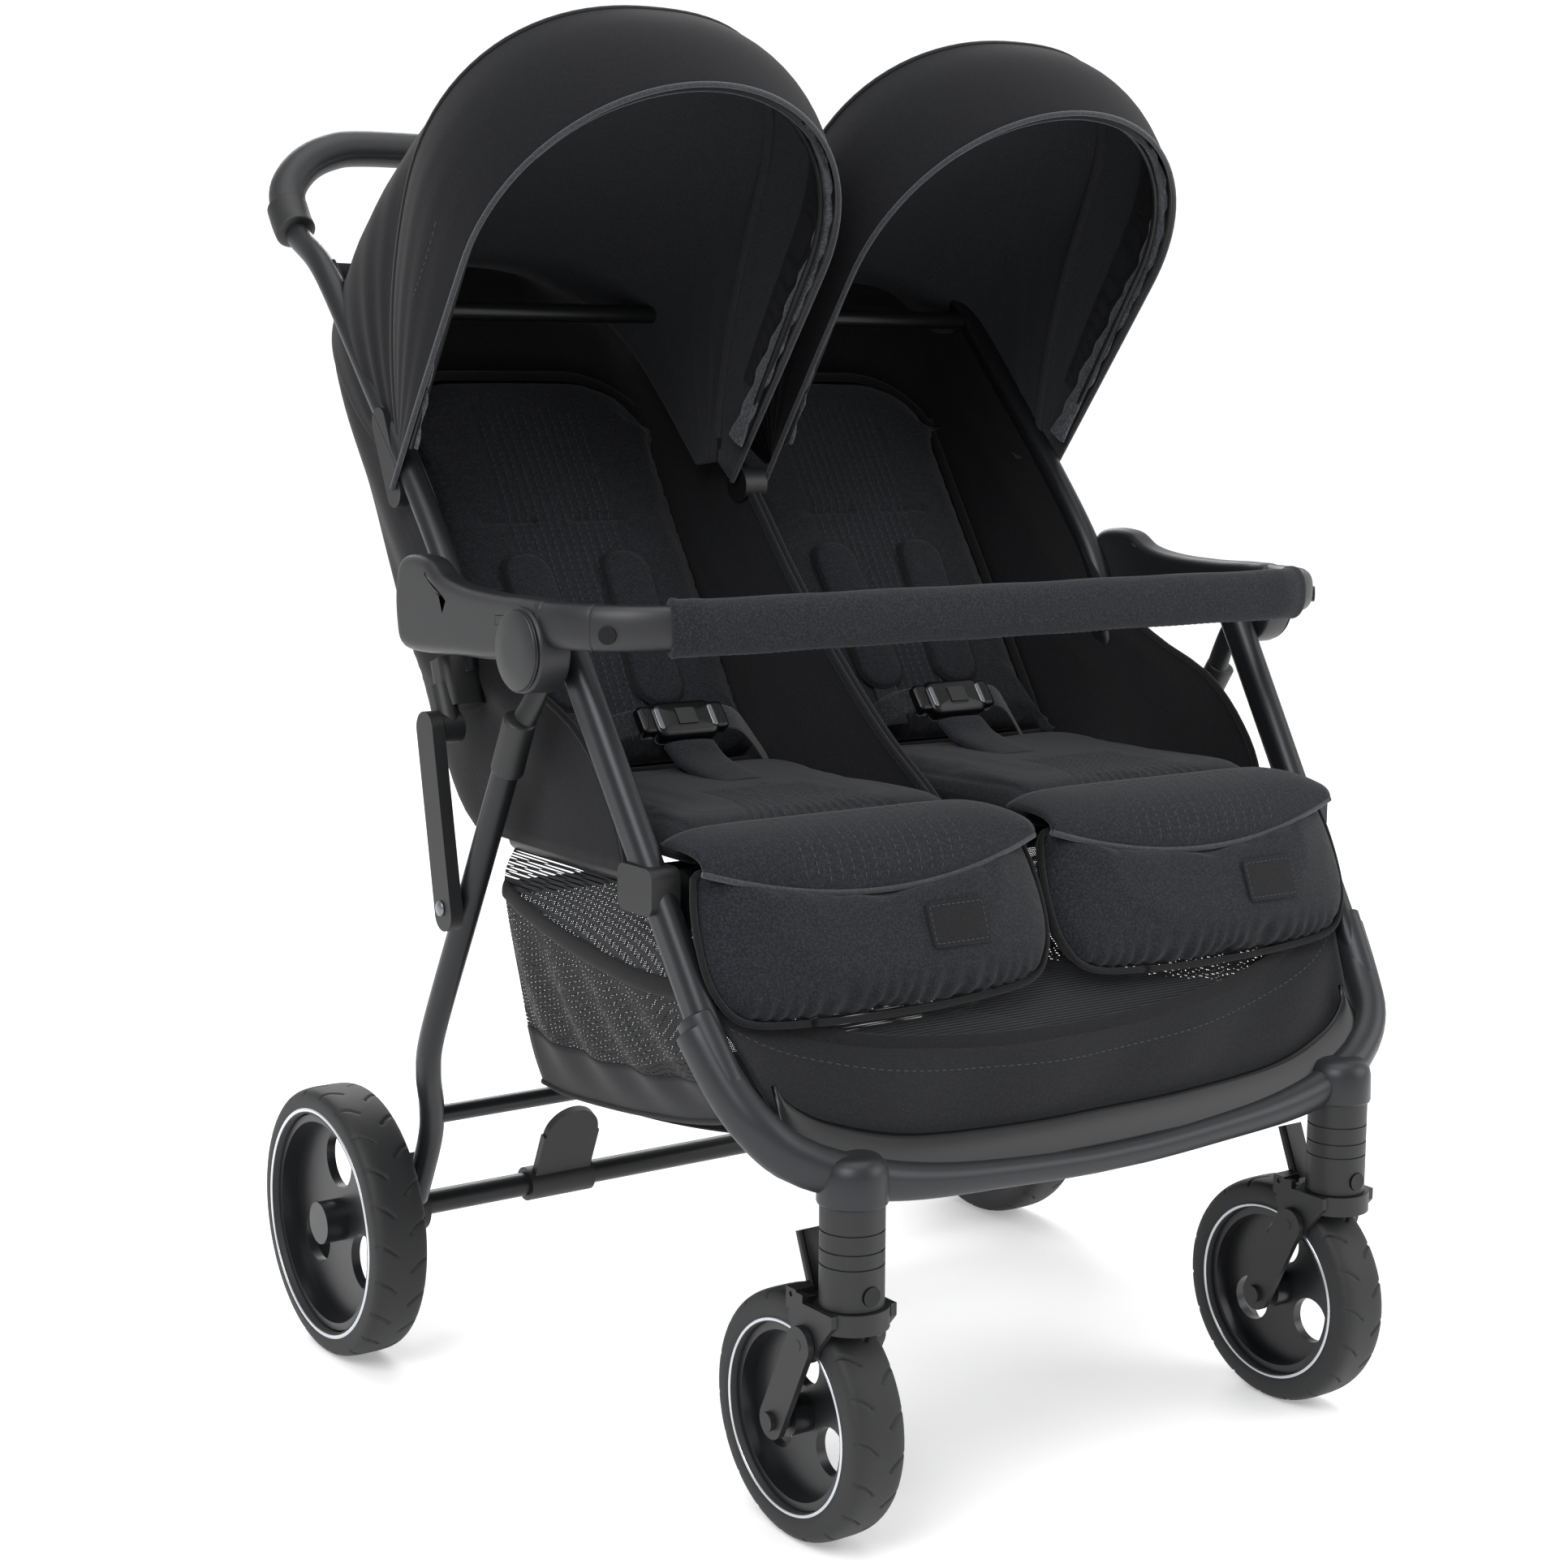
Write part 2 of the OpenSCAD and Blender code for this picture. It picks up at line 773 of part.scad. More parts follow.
module shoulder_pads(side) {
    color("#1f2023") in_place() at_back(side)
        for (s = [-1, 1]) translate([s * 37, back_front - 2, 128]) rotate([90, 0, 0])
            linear_extrude(13) rounded(46, 148, 20);
}

module shoulder_pads_right() { shoulder_pads(-1); }
module shoulder_pads_left() { shoulder_pads(1); }

calf_lean = 22;

module calf_rest(side) {
    color("#26272b") in_place() translate([side * seat_x, calf_hinge.y, calf_hinge.z]) rotate([-calf_lean, 0, 0])
        translate([0, 8, -60]) rotate([90, 0, 0]) linear_extrude(40) rounded(seat_w + 14, 116, 40);
}

module calf_rest_right() { calf_rest(-1); }
module calf_rest_left() { calf_rest(1); }

front_legs();
front_casting();
footboard();
hub_bolts();
seat_frame();
seat_brackets();
seat_pads();
crotch_pads();
buckles();
basket();
caster_columns();
arms();
arm_caps();
bumper_bar();
bumper_cover();
bar_button_right();
bar_button_left();
handle_tubes();
handlebar();
handle_grip();
handle_sleeves();
handle_crossbar();
canopy_mounts();
canopy_rears();
canopy_mid_right();
canopy_mid_left();
canopy_front_right();
canopy_front_left();
front_bow_right();
front_bow_left();
rear_legs();
rear_axle();
rear_cross_tube();
axle_housings();
fold_links();
brake_pedal();
rear_tyre_right();
rear_rim_right();
rear_tyre_left();
rear_rim_left();
yoke_right();
yoke_left();
suspension_arm_right();
suspension_arm_left();
swivel_lock_right();
swivel_lock_left();
caster_button_right();
caster_button_left();
front_tyre_right();
front_rim_right();
front_tyre_left();
front_rim_left();
backrest_right();
backrest_left();
shoulder_pads_right();
shoulder_pads_left();
calf_rest_right();
calf_rest_left();
buckle_button_right();
buckle_button_left();
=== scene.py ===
"""Side-by-side twin stroller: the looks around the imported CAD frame, in metres, in the row frame."""

import json
import math

import bmesh
import bpy
import numpy as np
from mathutils import Matrix, Vector
from mathutils.bvhtree import BVHTree
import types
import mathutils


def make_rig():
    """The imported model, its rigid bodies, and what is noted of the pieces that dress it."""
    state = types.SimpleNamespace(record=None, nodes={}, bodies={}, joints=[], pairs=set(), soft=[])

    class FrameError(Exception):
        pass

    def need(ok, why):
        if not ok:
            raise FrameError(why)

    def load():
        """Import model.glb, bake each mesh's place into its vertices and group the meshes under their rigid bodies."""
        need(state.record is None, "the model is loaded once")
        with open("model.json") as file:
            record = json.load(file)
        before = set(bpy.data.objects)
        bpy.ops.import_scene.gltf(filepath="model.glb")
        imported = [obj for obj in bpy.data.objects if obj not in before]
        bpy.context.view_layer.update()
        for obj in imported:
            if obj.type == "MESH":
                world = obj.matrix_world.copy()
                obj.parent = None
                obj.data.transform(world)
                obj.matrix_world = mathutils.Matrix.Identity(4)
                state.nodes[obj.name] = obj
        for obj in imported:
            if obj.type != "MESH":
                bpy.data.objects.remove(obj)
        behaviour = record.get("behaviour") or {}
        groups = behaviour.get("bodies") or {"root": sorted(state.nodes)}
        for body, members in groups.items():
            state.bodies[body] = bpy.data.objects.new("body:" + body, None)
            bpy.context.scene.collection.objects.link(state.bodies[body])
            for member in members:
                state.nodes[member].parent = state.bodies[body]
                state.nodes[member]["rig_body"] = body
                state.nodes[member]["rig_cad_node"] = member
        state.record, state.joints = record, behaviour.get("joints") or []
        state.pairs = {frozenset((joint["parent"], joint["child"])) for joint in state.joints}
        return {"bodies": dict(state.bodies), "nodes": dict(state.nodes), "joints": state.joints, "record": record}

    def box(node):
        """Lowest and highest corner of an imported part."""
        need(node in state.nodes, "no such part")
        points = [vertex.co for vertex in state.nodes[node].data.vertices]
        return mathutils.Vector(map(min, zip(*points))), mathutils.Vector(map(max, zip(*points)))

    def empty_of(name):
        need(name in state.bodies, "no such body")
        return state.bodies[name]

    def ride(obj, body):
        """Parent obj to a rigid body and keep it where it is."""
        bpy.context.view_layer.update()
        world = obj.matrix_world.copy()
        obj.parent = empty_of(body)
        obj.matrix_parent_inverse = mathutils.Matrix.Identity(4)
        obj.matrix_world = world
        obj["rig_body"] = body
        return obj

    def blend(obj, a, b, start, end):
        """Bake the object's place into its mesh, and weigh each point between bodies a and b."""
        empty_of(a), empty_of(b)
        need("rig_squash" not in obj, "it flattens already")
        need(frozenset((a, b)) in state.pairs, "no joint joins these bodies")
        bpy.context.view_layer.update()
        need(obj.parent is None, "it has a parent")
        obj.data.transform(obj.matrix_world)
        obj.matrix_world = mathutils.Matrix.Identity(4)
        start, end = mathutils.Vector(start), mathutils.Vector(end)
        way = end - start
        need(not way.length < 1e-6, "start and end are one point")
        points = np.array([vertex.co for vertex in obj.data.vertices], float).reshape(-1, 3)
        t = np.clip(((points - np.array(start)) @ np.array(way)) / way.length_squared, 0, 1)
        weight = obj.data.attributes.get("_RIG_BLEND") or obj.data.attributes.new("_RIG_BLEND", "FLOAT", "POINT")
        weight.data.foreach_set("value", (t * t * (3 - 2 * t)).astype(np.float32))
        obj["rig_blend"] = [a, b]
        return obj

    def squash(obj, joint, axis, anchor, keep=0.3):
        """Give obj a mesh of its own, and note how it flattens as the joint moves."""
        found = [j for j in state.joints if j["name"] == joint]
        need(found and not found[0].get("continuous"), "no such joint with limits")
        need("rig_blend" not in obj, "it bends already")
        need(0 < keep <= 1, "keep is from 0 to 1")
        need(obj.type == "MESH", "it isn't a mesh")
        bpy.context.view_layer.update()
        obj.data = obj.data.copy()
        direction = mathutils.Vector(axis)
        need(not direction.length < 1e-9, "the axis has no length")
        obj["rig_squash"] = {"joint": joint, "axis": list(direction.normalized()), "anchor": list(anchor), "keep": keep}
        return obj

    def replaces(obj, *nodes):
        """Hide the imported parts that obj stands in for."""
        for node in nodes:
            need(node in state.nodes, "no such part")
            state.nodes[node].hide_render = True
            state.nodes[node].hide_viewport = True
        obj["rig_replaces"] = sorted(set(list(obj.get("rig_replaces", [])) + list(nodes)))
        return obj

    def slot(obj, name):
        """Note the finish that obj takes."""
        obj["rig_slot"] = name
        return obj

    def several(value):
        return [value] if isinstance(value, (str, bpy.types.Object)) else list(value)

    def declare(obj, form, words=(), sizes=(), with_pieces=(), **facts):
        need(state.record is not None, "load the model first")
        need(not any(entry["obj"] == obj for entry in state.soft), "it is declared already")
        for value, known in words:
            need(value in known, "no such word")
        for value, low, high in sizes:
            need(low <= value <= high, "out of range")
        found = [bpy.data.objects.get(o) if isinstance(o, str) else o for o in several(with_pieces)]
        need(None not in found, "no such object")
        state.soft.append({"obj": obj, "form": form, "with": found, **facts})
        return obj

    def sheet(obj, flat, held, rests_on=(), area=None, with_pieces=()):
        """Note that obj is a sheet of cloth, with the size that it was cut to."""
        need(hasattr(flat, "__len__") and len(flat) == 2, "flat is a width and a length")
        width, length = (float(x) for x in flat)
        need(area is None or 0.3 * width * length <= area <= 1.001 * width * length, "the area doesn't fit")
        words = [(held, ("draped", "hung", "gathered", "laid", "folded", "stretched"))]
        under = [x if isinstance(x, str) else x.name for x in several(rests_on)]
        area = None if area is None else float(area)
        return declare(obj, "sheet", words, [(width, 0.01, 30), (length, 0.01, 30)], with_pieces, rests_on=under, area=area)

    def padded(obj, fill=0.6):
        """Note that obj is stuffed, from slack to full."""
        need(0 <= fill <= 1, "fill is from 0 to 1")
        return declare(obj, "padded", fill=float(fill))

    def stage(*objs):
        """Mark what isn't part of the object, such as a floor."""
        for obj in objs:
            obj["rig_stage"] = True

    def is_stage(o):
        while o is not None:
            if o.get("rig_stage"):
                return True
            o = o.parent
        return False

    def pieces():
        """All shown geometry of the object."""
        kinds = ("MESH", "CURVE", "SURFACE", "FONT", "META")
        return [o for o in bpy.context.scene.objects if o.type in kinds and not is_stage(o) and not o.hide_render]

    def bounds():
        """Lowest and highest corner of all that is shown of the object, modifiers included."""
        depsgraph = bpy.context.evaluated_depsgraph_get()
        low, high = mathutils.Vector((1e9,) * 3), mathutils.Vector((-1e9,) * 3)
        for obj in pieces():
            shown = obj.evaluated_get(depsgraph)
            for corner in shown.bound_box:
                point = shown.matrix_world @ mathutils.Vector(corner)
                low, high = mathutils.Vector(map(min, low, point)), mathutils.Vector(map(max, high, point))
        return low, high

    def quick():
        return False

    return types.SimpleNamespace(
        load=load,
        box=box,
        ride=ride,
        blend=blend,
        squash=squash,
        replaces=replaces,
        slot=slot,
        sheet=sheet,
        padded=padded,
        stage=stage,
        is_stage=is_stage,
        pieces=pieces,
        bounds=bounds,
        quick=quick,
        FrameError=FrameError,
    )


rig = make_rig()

for start_object in list(bpy.data.objects):
    bpy.data.objects.remove(start_object)

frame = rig.load()
CAD_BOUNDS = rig.bounds()

# the frame's dimensions are given from the rear axle; the row's origin is this far ahead of it
AHEAD = 0.22
SIDES = ((-1, "right", "r"), (1, "left", "l"))


def at(x, y, z):
    """A point given from the middle plane, the rear axle and the floor, in the row frame."""
    return np.array([x, y + AHEAD, z], float)


# ---- materials ----


def linear(hex_colour):
    """An sRGB hex colour as linear RGBA for a shader socket."""
    parts = [int(hex_colour[i : i + 2], 16) / 255 for i in (1, 3, 5)]
    return [c / 12.92 if c <= 0.04045 else ((c + 0.055) / 1.055) ** 2.4 for c in parts] + [1.0]


class Surface:
    """A node material under construction, with short calls for the nodes used here."""

    def __init__(self, name, hex_colour, rough, metallic=0.0):
        self.mat = bpy.data.materials.new(name)
        self.mat.use_nodes = True
        self.tree = self.mat.node_tree
        self.shader = self.tree.nodes["Principled BSDF"]
        self.colour = linear(hex_colour)
        self.shader.inputs["Base Color"].default_value = self.colour
        self.shader.inputs["Roughness"].default_value = rough
        self.shader.inputs["Metallic"].default_value = metallic
        self.coords = self.tree.nodes.new("ShaderNodeTexCoord").outputs["Object"]

    def node(self, kind, links=(), **values):
        made = self.tree.nodes.new("ShaderNode" + kind)
        for socket, output in dict(links).items():
            self.tree.links.new(output, made.inputs[socket])
        for socket, value in values.items():
            made.inputs[socket.replace("_", " ")].default_value = value
        return made

    def math(self, operation, a, b):
        made = self.tree.nodes.new("ShaderNodeMath")
        made.operation = operation
        for socket, value in ((0, a), (1, b)):
            if isinstance(value, (int, float)):
                made.inputs[socket].default_value = value
            else:
                self.tree.links.new(value, made.inputs[socket])
        return made.outputs[0]

    def noise(self, scale, detail=2.0):
        return self.node("TexNoise", {"Vector": self.coords}, Scale=scale, Detail=detail).outputs["Fac"]

    def threads(self, pitch):
        """Height of a plain weave: two sets of sine threads at right angles, multiplied together."""
        waves = []
        for direction in ("X", "Z"):
            wave = self.node("TexWave", {"Vector": self.coords}, Scale=0.314 / pitch, Distortion=0.0)
            wave.wave_type, wave.bands_direction, wave.wave_profile = "BANDS", direction, "SIN"
            waves.append(wave.outputs["Fac"])
        return self.math("MULTIPLY", waves[0], waves[1])

    def mottle(self, factor, hex_other):
        """Mixes a second colour in by factor."""
        mix = self.tree.nodes.new("ShaderNodeMix")
        mix.data_type = "RGBA"
        mix.inputs["A"].default_value = self.colour
        mix.inputs["B"].default_value = linear(hex_other)
        self.tree.links.new(factor, mix.inputs["Factor"])
        self.tree.links.new(mix.outputs["Result"], self.shader.inputs["Base Color"])

    def relief(self, height, distance, strength=1.0):
        bump = self.node("Bump", {"Height": height}, Distance=distance, Strength=strength)
        self.tree.links.new(bump.outputs["Normal"], self.shader.inputs["Normal"])

    def see_through(self, factor):
        """Mixes with a transparent shader: factor 0 is open, 1 is solid."""
        clear = self.tree.nodes.new("ShaderNodeBsdfTransparent")
        mix = self.tree.nodes.new("ShaderNodeMixShader")
        self.tree.links.new(factor, mix.inputs[0])
        self.tree.links.new(clear.outputs[0], mix.inputs[1])
        self.tree.links.new(self.shader.outputs[0], mix.inputs[2])
        self.tree.links.new(mix.outputs[0], self.tree.nodes["Material Output"].inputs["Surface"])


def moulded(name, hex_colour, rough, grain=0.00008):
    s = Surface(name, hex_colour, rough)
    s.relief(s.noise(1500.0, 3.0), grain, 0.6)
    return s.mat


def coated(name, hex_colour, rough, metallic):
    s = Surface(name, hex_colour, rough, metallic)
    s.relief(s.noise(900.0, 2.0), 0.00003, 0.5)
    return s.mat


def woven(name, hex_colour, hex_fleck, pitch, depth, sheen=0.3, fleck=(0.45, 0.62)):
    """Woven cloth: threads in relief, with flecks of a second yarn where a stretched noise is high."""
    s = Surface(name, hex_colour, 0.92)
    s.relief(s.threads(pitch), depth, 0.8)
    ramp = s.node("MapRange", {"Value": s.noise(0.55 / pitch, 3.0)})
    ramp.inputs["From Min"].default_value, ramp.inputs["From Max"].default_value = fleck
    s.mottle(ramp.outputs["Result"], hex_fleck)
    s.shader.inputs["Sheen Weight"].default_value = sheen
    s.shader.inputs["Sheen Roughness"].default_value = 0.5
    s.shader.inputs["Specular IOR Level"].default_value = 0.25
    return s.mat


def netting(name, hex_colour, pitch, open_share):
    """Knitted mesh: the threads are solid and the holes between them are open."""
    s = Surface(name, hex_colour, 0.8)
    weave = s.threads(pitch)
    step = s.math("LESS_THAN", weave, 1.0 - open_share)
    s.see_through(step)
    return s.mat


ANODISED = coated("dark grey anodised aluminium tube", "#26272a", 0.36, 0.55)
CAST = coated("dark grey coated cast aluminium", "#2b2c2f", 0.4, 0.5)
BLACK_TUBE = coated("black powder-coated steel tube", "#17181a", 0.36, 0.2)
STEEL = coated("zinc-plated steel bolt", "#77797c", 0.3, 0.9)
SILVER = coated("bright rim trim ring", "#c9ccd0", 0.25, 0.9)
PLASTIC = moulded("matte black moulded plastic", "#101113", 0.5)
ARM_PLASTIC = moulded("matte charcoal moulded plastic", "#141518", 0.46)
RIM_PLASTIC = moulded("satin black moulded rim", "#16171a", 0.36, 0.00004)
GLOSS = moulded("gloss black polished plastic", "#060708", 0.3, 0.00001)
GLOSS.node_tree.nodes["Principled BSDF"].inputs["Specular IOR Level"].default_value = 0.3
TYRE = moulded("black foam rubber tyre", "#141517", 0.62, 0.0002)
GRIP = moulded("black stitched imitation leather grip", "#191a1d", 0.5, 0.00025)

CANOPY = woven("canopy cloth, black plain weave", "#08090c", "#101116", 0.0007, 0.00012, 0.05)
LINING = woven("canopy lining, charcoal plain weave", "#2a2b2e", "#333438", 0.0007, 0.0001, 0.1)
MELANGE = woven(
    "seat cloth, charcoal melange weave", "#0f1014", "#23252b", 0.0009, 0.0002, 0.08, (0.42, 0.68)
)
PLAIN = woven("side cloth, black twill", "#0a0b0e", "#131418", 0.0008, 0.00012, 0.08)
STRAP = woven("black polyester webbing", "#131417", "#24262a", 0.0013, 0.0003, 0.2)
TAPE = woven("grey gathered elastic tape", "#3d3f43", "#5a5c61", 0.0012, 0.0002, 0.3)
FLAP = woven("grey window flap cloth", "#26272b", "#303238", 0.0008, 0.0001, 0.2)
PIPING = woven("satin grey edge piping", "#26272b", "#34363b", 0.0008, 0.0001, 0.3)
BINDING = woven("black edge binding", "#090a0c", "#121316", 0.0008, 0.0001, 0.1)
THREAD = Surface("charcoal stitching thread", "#34363b", 0.8).mat
BASKET_CLOTH = woven("basket cloth, black plain weave", "#0f1013", "#18191d", 0.0008, 0.00012, 0.1)
NET = netting("black knitted basket net", "#0c0d10", 0.0019, 0.3)
FINE_NET = netting("fine charcoal window net", "#17181c", 0.0014, 0.3)
OPEN_NET = netting("open grey basket mesh", "#1d1e21", 0.0016, 0.62)

# ---- meshes ----


def mesh_object(name, verts, faces, material):
    """A mesh object at the origin, its vertices in the row frame."""
    mesh = bpy.data.meshes.new(name)
    mesh.from_pydata(np.asarray(verts, float).tolist(), [], [tuple(int(i) for i in f) for f in faces])
    mesh.validate()
    mesh.polygons.foreach_set("use_smooth", [True] * len(mesh.polygons))
    mesh.materials.append(material)
    made = bpy.data.objects.new(name, mesh)
    bpy.context.scene.collection.objects.link(made)
    return made


def cut_from(points):
    across = np.linalg.norm(np.diff(points, axis=1), axis=2).sum(1).max()
    along = np.linalg.norm(np.diff(points, axis=0), axis=2).sum(0).max()
    one, two = points[1:, 1:] - points[:-1, :-1], points[1:, :-1] - points[:-1, 1:]
    area = 0.5 * np.linalg.norm(np.cross(one, two), axis=2).sum()
    flat = (math.ceil(across * 1000) / 1000, math.ceil(along * 1000) / 1000)
    return {"flat": flat, "area": min(area, flat[0] * flat[1])}


def grid_faces(rows, columns, wrap_rows=False, wrap_columns=False):
    """Quads over a grid of points stored row by row."""
    r = np.arange(rows if wrap_rows else rows - 1)
    c = np.arange(columns if wrap_columns else columns - 1)
    r, c = np.meshgrid(r, c, indexing="ij")
    r1, c1 = (r + 1) % rows, (c + 1) % columns
    quads = np.stack([r * columns + c, r * columns + c1, r1 * columns + c1, r1 * columns + c], -1)
    return quads.reshape(-1, 4)


def outward(made):
    """Turns every face of a closed mesh outward."""
    b = bmesh.new()
    b.from_mesh(made.data)
    bmesh.ops.recalc_face_normals(b, faces=b.faces)
    b.to_mesh(made.data)
    b.free()
    return made


def curve_through(points, count, closed=False):
    """Evenly spaced points on a centripetal curve through the given ones, as Catmull and Rom draw it."""
    p = np.asarray(points, float)
    if closed:
        p = np.vstack([p[-1], p, p[:2]])
    else:
        p = np.vstack([2 * p[0] - p[1], p, 2 * p[-1] - p[-2]])
    out = []
    for i in range(1, len(p) - 2):
        t = np.linspace(0, 1, 24, endpoint=False)[:, None]
        a, b, c, d = p[i - 1], p[i], p[i + 1], p[i + 2]
        out.append(
            0.5
            * (
                2 * b
                + (c - a) * t
                + (2 * a - 5 * b + 4 * c - d) * t**2
                + (3 * b - a - 3 * c + d) * t**3
            )
        )
    q = np.vstack(out + ([] if closed else [p[-2][None]]))
    if closed:
        q = np.vstack([q, q[:1]])
    s = np.r_[0, np.cumsum(np.linalg.norm(np.diff(q, axis=0), axis=1))]
    u = np.linspace(0, s[-1], count + (1 if closed else 0))
    out = np.stack([np.interp(u, s, q[:, k]) for k in range(q.shape[1])], -1)
    return out[:-1] if closed else out


def frames(path, up):
    """Tangent, side and normal along a path; the normal stays as near to up as it can."""
    t = np.gradient(path, axis=0)
    t /= np.linalg.norm(t, axis=1)[:, None]
    up = np.broadcast_to(np.asarray(up, float), path.shape)
    n = up - (up * t).sum(1)[:, None] * t
    n /= np.linalg.norm(n, axis=1)[:, None]
    return t, np.cross(n, t), n


def sweep(name, path, half_side, half_up, material, up=(0, 0, 1), power=2.0, around=32, ends=True, wave=None):
    """A tube along path whose section is a superellipse: half_side across, half_up along the normal nearest
    to up. The end rings close in to a point over a few steps so that the ends are rounded."""
    path = np.asarray(path, float)
    n = len(path)
    t, side, nor = frames(path, up)
    a = np.broadcast_to(np.asarray(half_side, float), (n,)).copy()
    b = np.broadcast_to(np.asarray(half_up, float), (n,)).copy()
    phi = np.linspace(0, 2 * np.pi, around, endpoint=False)
    cs = np.sign(np.cos(phi)) * np.abs(np.cos(phi)) ** (2 / power)
    sn = np.sign(np.sin(phi)) * np.abs(np.sin(phi)) ** (2 / power)
    rings = []

    def ring(i, shrink=1.0, shift=0.0):
        swell = 1.0 if wave is None else wave(i / (n - 1), phi)[:, None]
        rings.append(
            path[i] + t[i] * shift + swell * shrink * (
                side[i] * a[i] * cs[:, None] + nor[i] * b[i] * sn[:, None]
            )
        )

    steps = (0.0, 0.35, 0.7, 0.92) if ends else ()
    for k in steps:
        ring(0, max(math.sin(math.acos(1 - k)) if k < 1 else 1, 0.02), -min(a[0], b[0]) * 0.25 * (1 - k))
    for i in range(n):
        ring(i)
    for k in reversed(steps):
        ring(n - 1, max(math.sin(math.acos(1 - k)), 0.02), min(a[-1], b[-1]) * 0.25 * (1 - k))
    verts = np.vstack(rings)
    faces = [tuple(f) for f in grid_faces(len(rings), around, wrap_columns=True)]
    if ends:
        faces.append(tuple(range(around))[::-1])
        faces.append(tuple(range((len(rings) - 1) * around, len(rings) * around)))
    return outward(mesh_object(name, verts, faces, material))


def lathe(name, centre, profile, material, axis="X", count=96, closed=True, shape=None):
    """A profile of (radius, distance along the axis) turned about an axis through centre."""
    profile = np.asarray(profile, float)
    th = np.linspace(0, 2 * np.pi, count, endpoint=False)[:, None]
    r, s = profile[None, :, 0], profile[None, :, 1]
    if shape is not None:
        r, s = shape(th, r, s)
    r, s = np.broadcast_arrays(r + 0 * th, s + 0 * th)
    c, w = r * np.cos(th), r * np.sin(th)
    if axis == "X":
        p = np.stack([s, c, w], -1)
    else:
        p = np.stack([c, w, s], -1)
    verts = (p + np.asarray(centre, float)).reshape(-1, 3)
    faces = grid_faces(count, profile.shape[0], wrap_rows=True, wrap_columns=closed)
    made = mesh_object(name, verts, faces, material)
    b = bmesh.new()
    b.from_mesh(made.data)
    bmesh.ops.remove_doubles(b, verts=b.verts, dist=1e-6)
    bmesh.ops.recalc_face_normals(b, faces=b.faces)
    b.to_mesh(made.data)
    b.free()
    return made


def oval(x, y, half_x, half_y, count):
    """Points round an ellipse about (x, y)."""
    a = np.linspace(0, 2 * np.pi, count + 1)[:-1]
    return np.stack([x + half_x * np.cos(a), y + half_y * np.sin(a)], -1)


def rounded_outline(w, h, r, count=12):
    """Counter-clockwise rounded rectangle, w by h, with corner radius r."""
    out = []
    for k, (sx, sy) in enumerate(((1, 1), (-1, 1), (-1, -1), (1, -1))):
        a = np.linspace(k * np.pi / 2, (k + 1) * np.pi / 2, count)
        out.append(np.stack([sx * (w / 2 - r) + r * np.cos(a), sy * (h / 2 - r) + r * np.sin(a)], -1))
    return np.vstack(out)


def inset(outline, d):
    """The closed outline moved inwards by d along its own normals."""
    t = np.roll(outline, -1, 0) - np.roll(outline, 1, 0)
    t /= np.linalg.norm(t, axis=1)[:, None] + 1e-12
    return outline + d * np.stack([-t[:, 1], t[:, 0]], -1)


def slab(name, outline, low, high, edge, place, material, steps=4, dome=0.0):
    """A plate from a flat outline, its rim rounded by a quarter circle of radius edge; place turns (u, v, w)
    into a point. dome lifts the upper face's middle ring so that it is slightly crowned."""
    rings = []
    inner = inset(outline, edge * 1.6)
    mid = inner.mean(0)
    rings.append((mid + (inner - mid) * 0.5, low))
    for a in np.linspace(0, np.pi / 2, steps):
        rings.append((inset(outline, edge * (1 - math.sin(a))), low + edge * (1 - math.cos(a))))
    for a in np.linspace(np.pi / 2, 0, steps):
        rings.append((inset(outline, edge * (1 - math.sin(a))), high - edge * (1 - math.cos(a))))
    rings.append((inner, high + dome * 0.4))
    rings.append((mid + (inner - mid) * 0.5, high + dome))
    n = len(outline)
    verts = np.vstack([np.c_[r, np.full(n, w)] for r, w in rings])
    faces = [tuple(f) for f in grid_faces(len(rings), n, wrap_columns=True)]
    faces += [tuple(range(n))[::-1], tuple(range((len(rings) - 1) * n, len(rings) * n))]
    return outward(mesh_object(name, place(verts), faces, material))


def joined(name, parts):
    """Several mesh objects as one."""
    bpy.ops.object.select_all(action="DESELECT")
    for p in parts:
        p.select_set(True)
    bpy.context.view_layer.objects.active = parts[0]
    if len(parts) > 1:
        bpy.ops.object.join()
    parts[0].name = name
    parts[0].data.name = name
    return parts[0]


def mirrored(made, name):
    """The same mesh on the other side of the middle plane."""
    copy = made.copy()
    copy.data = made.data.copy()
    copy.name = copy.data.name = name
    bpy.context.scene.collection.objects.link(copy)
    copy.data.transform(Matrix.Scale(-1, 4, Vector((1, 0, 0))))
    copy.data.flip_normals()
    for key in list(copy.keys()):
        del copy[key]
    return copy


def fitted(piece, body, slot=None, stands_for=()):
    """Gives a piece its body, its material slot and the CAD nodes that it stands for."""
    if stands_for:
        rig.replaces(piece, *stands_for)
    if slot:
        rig.slot(piece, slot)
    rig.ride(piece, body)
    return piece


def dress(node, material):
    """A CAD node shown as it is, in another material."""
    o = frame["nodes"][node]
    o.data.materials.clear()
    o.data.materials.append(material)


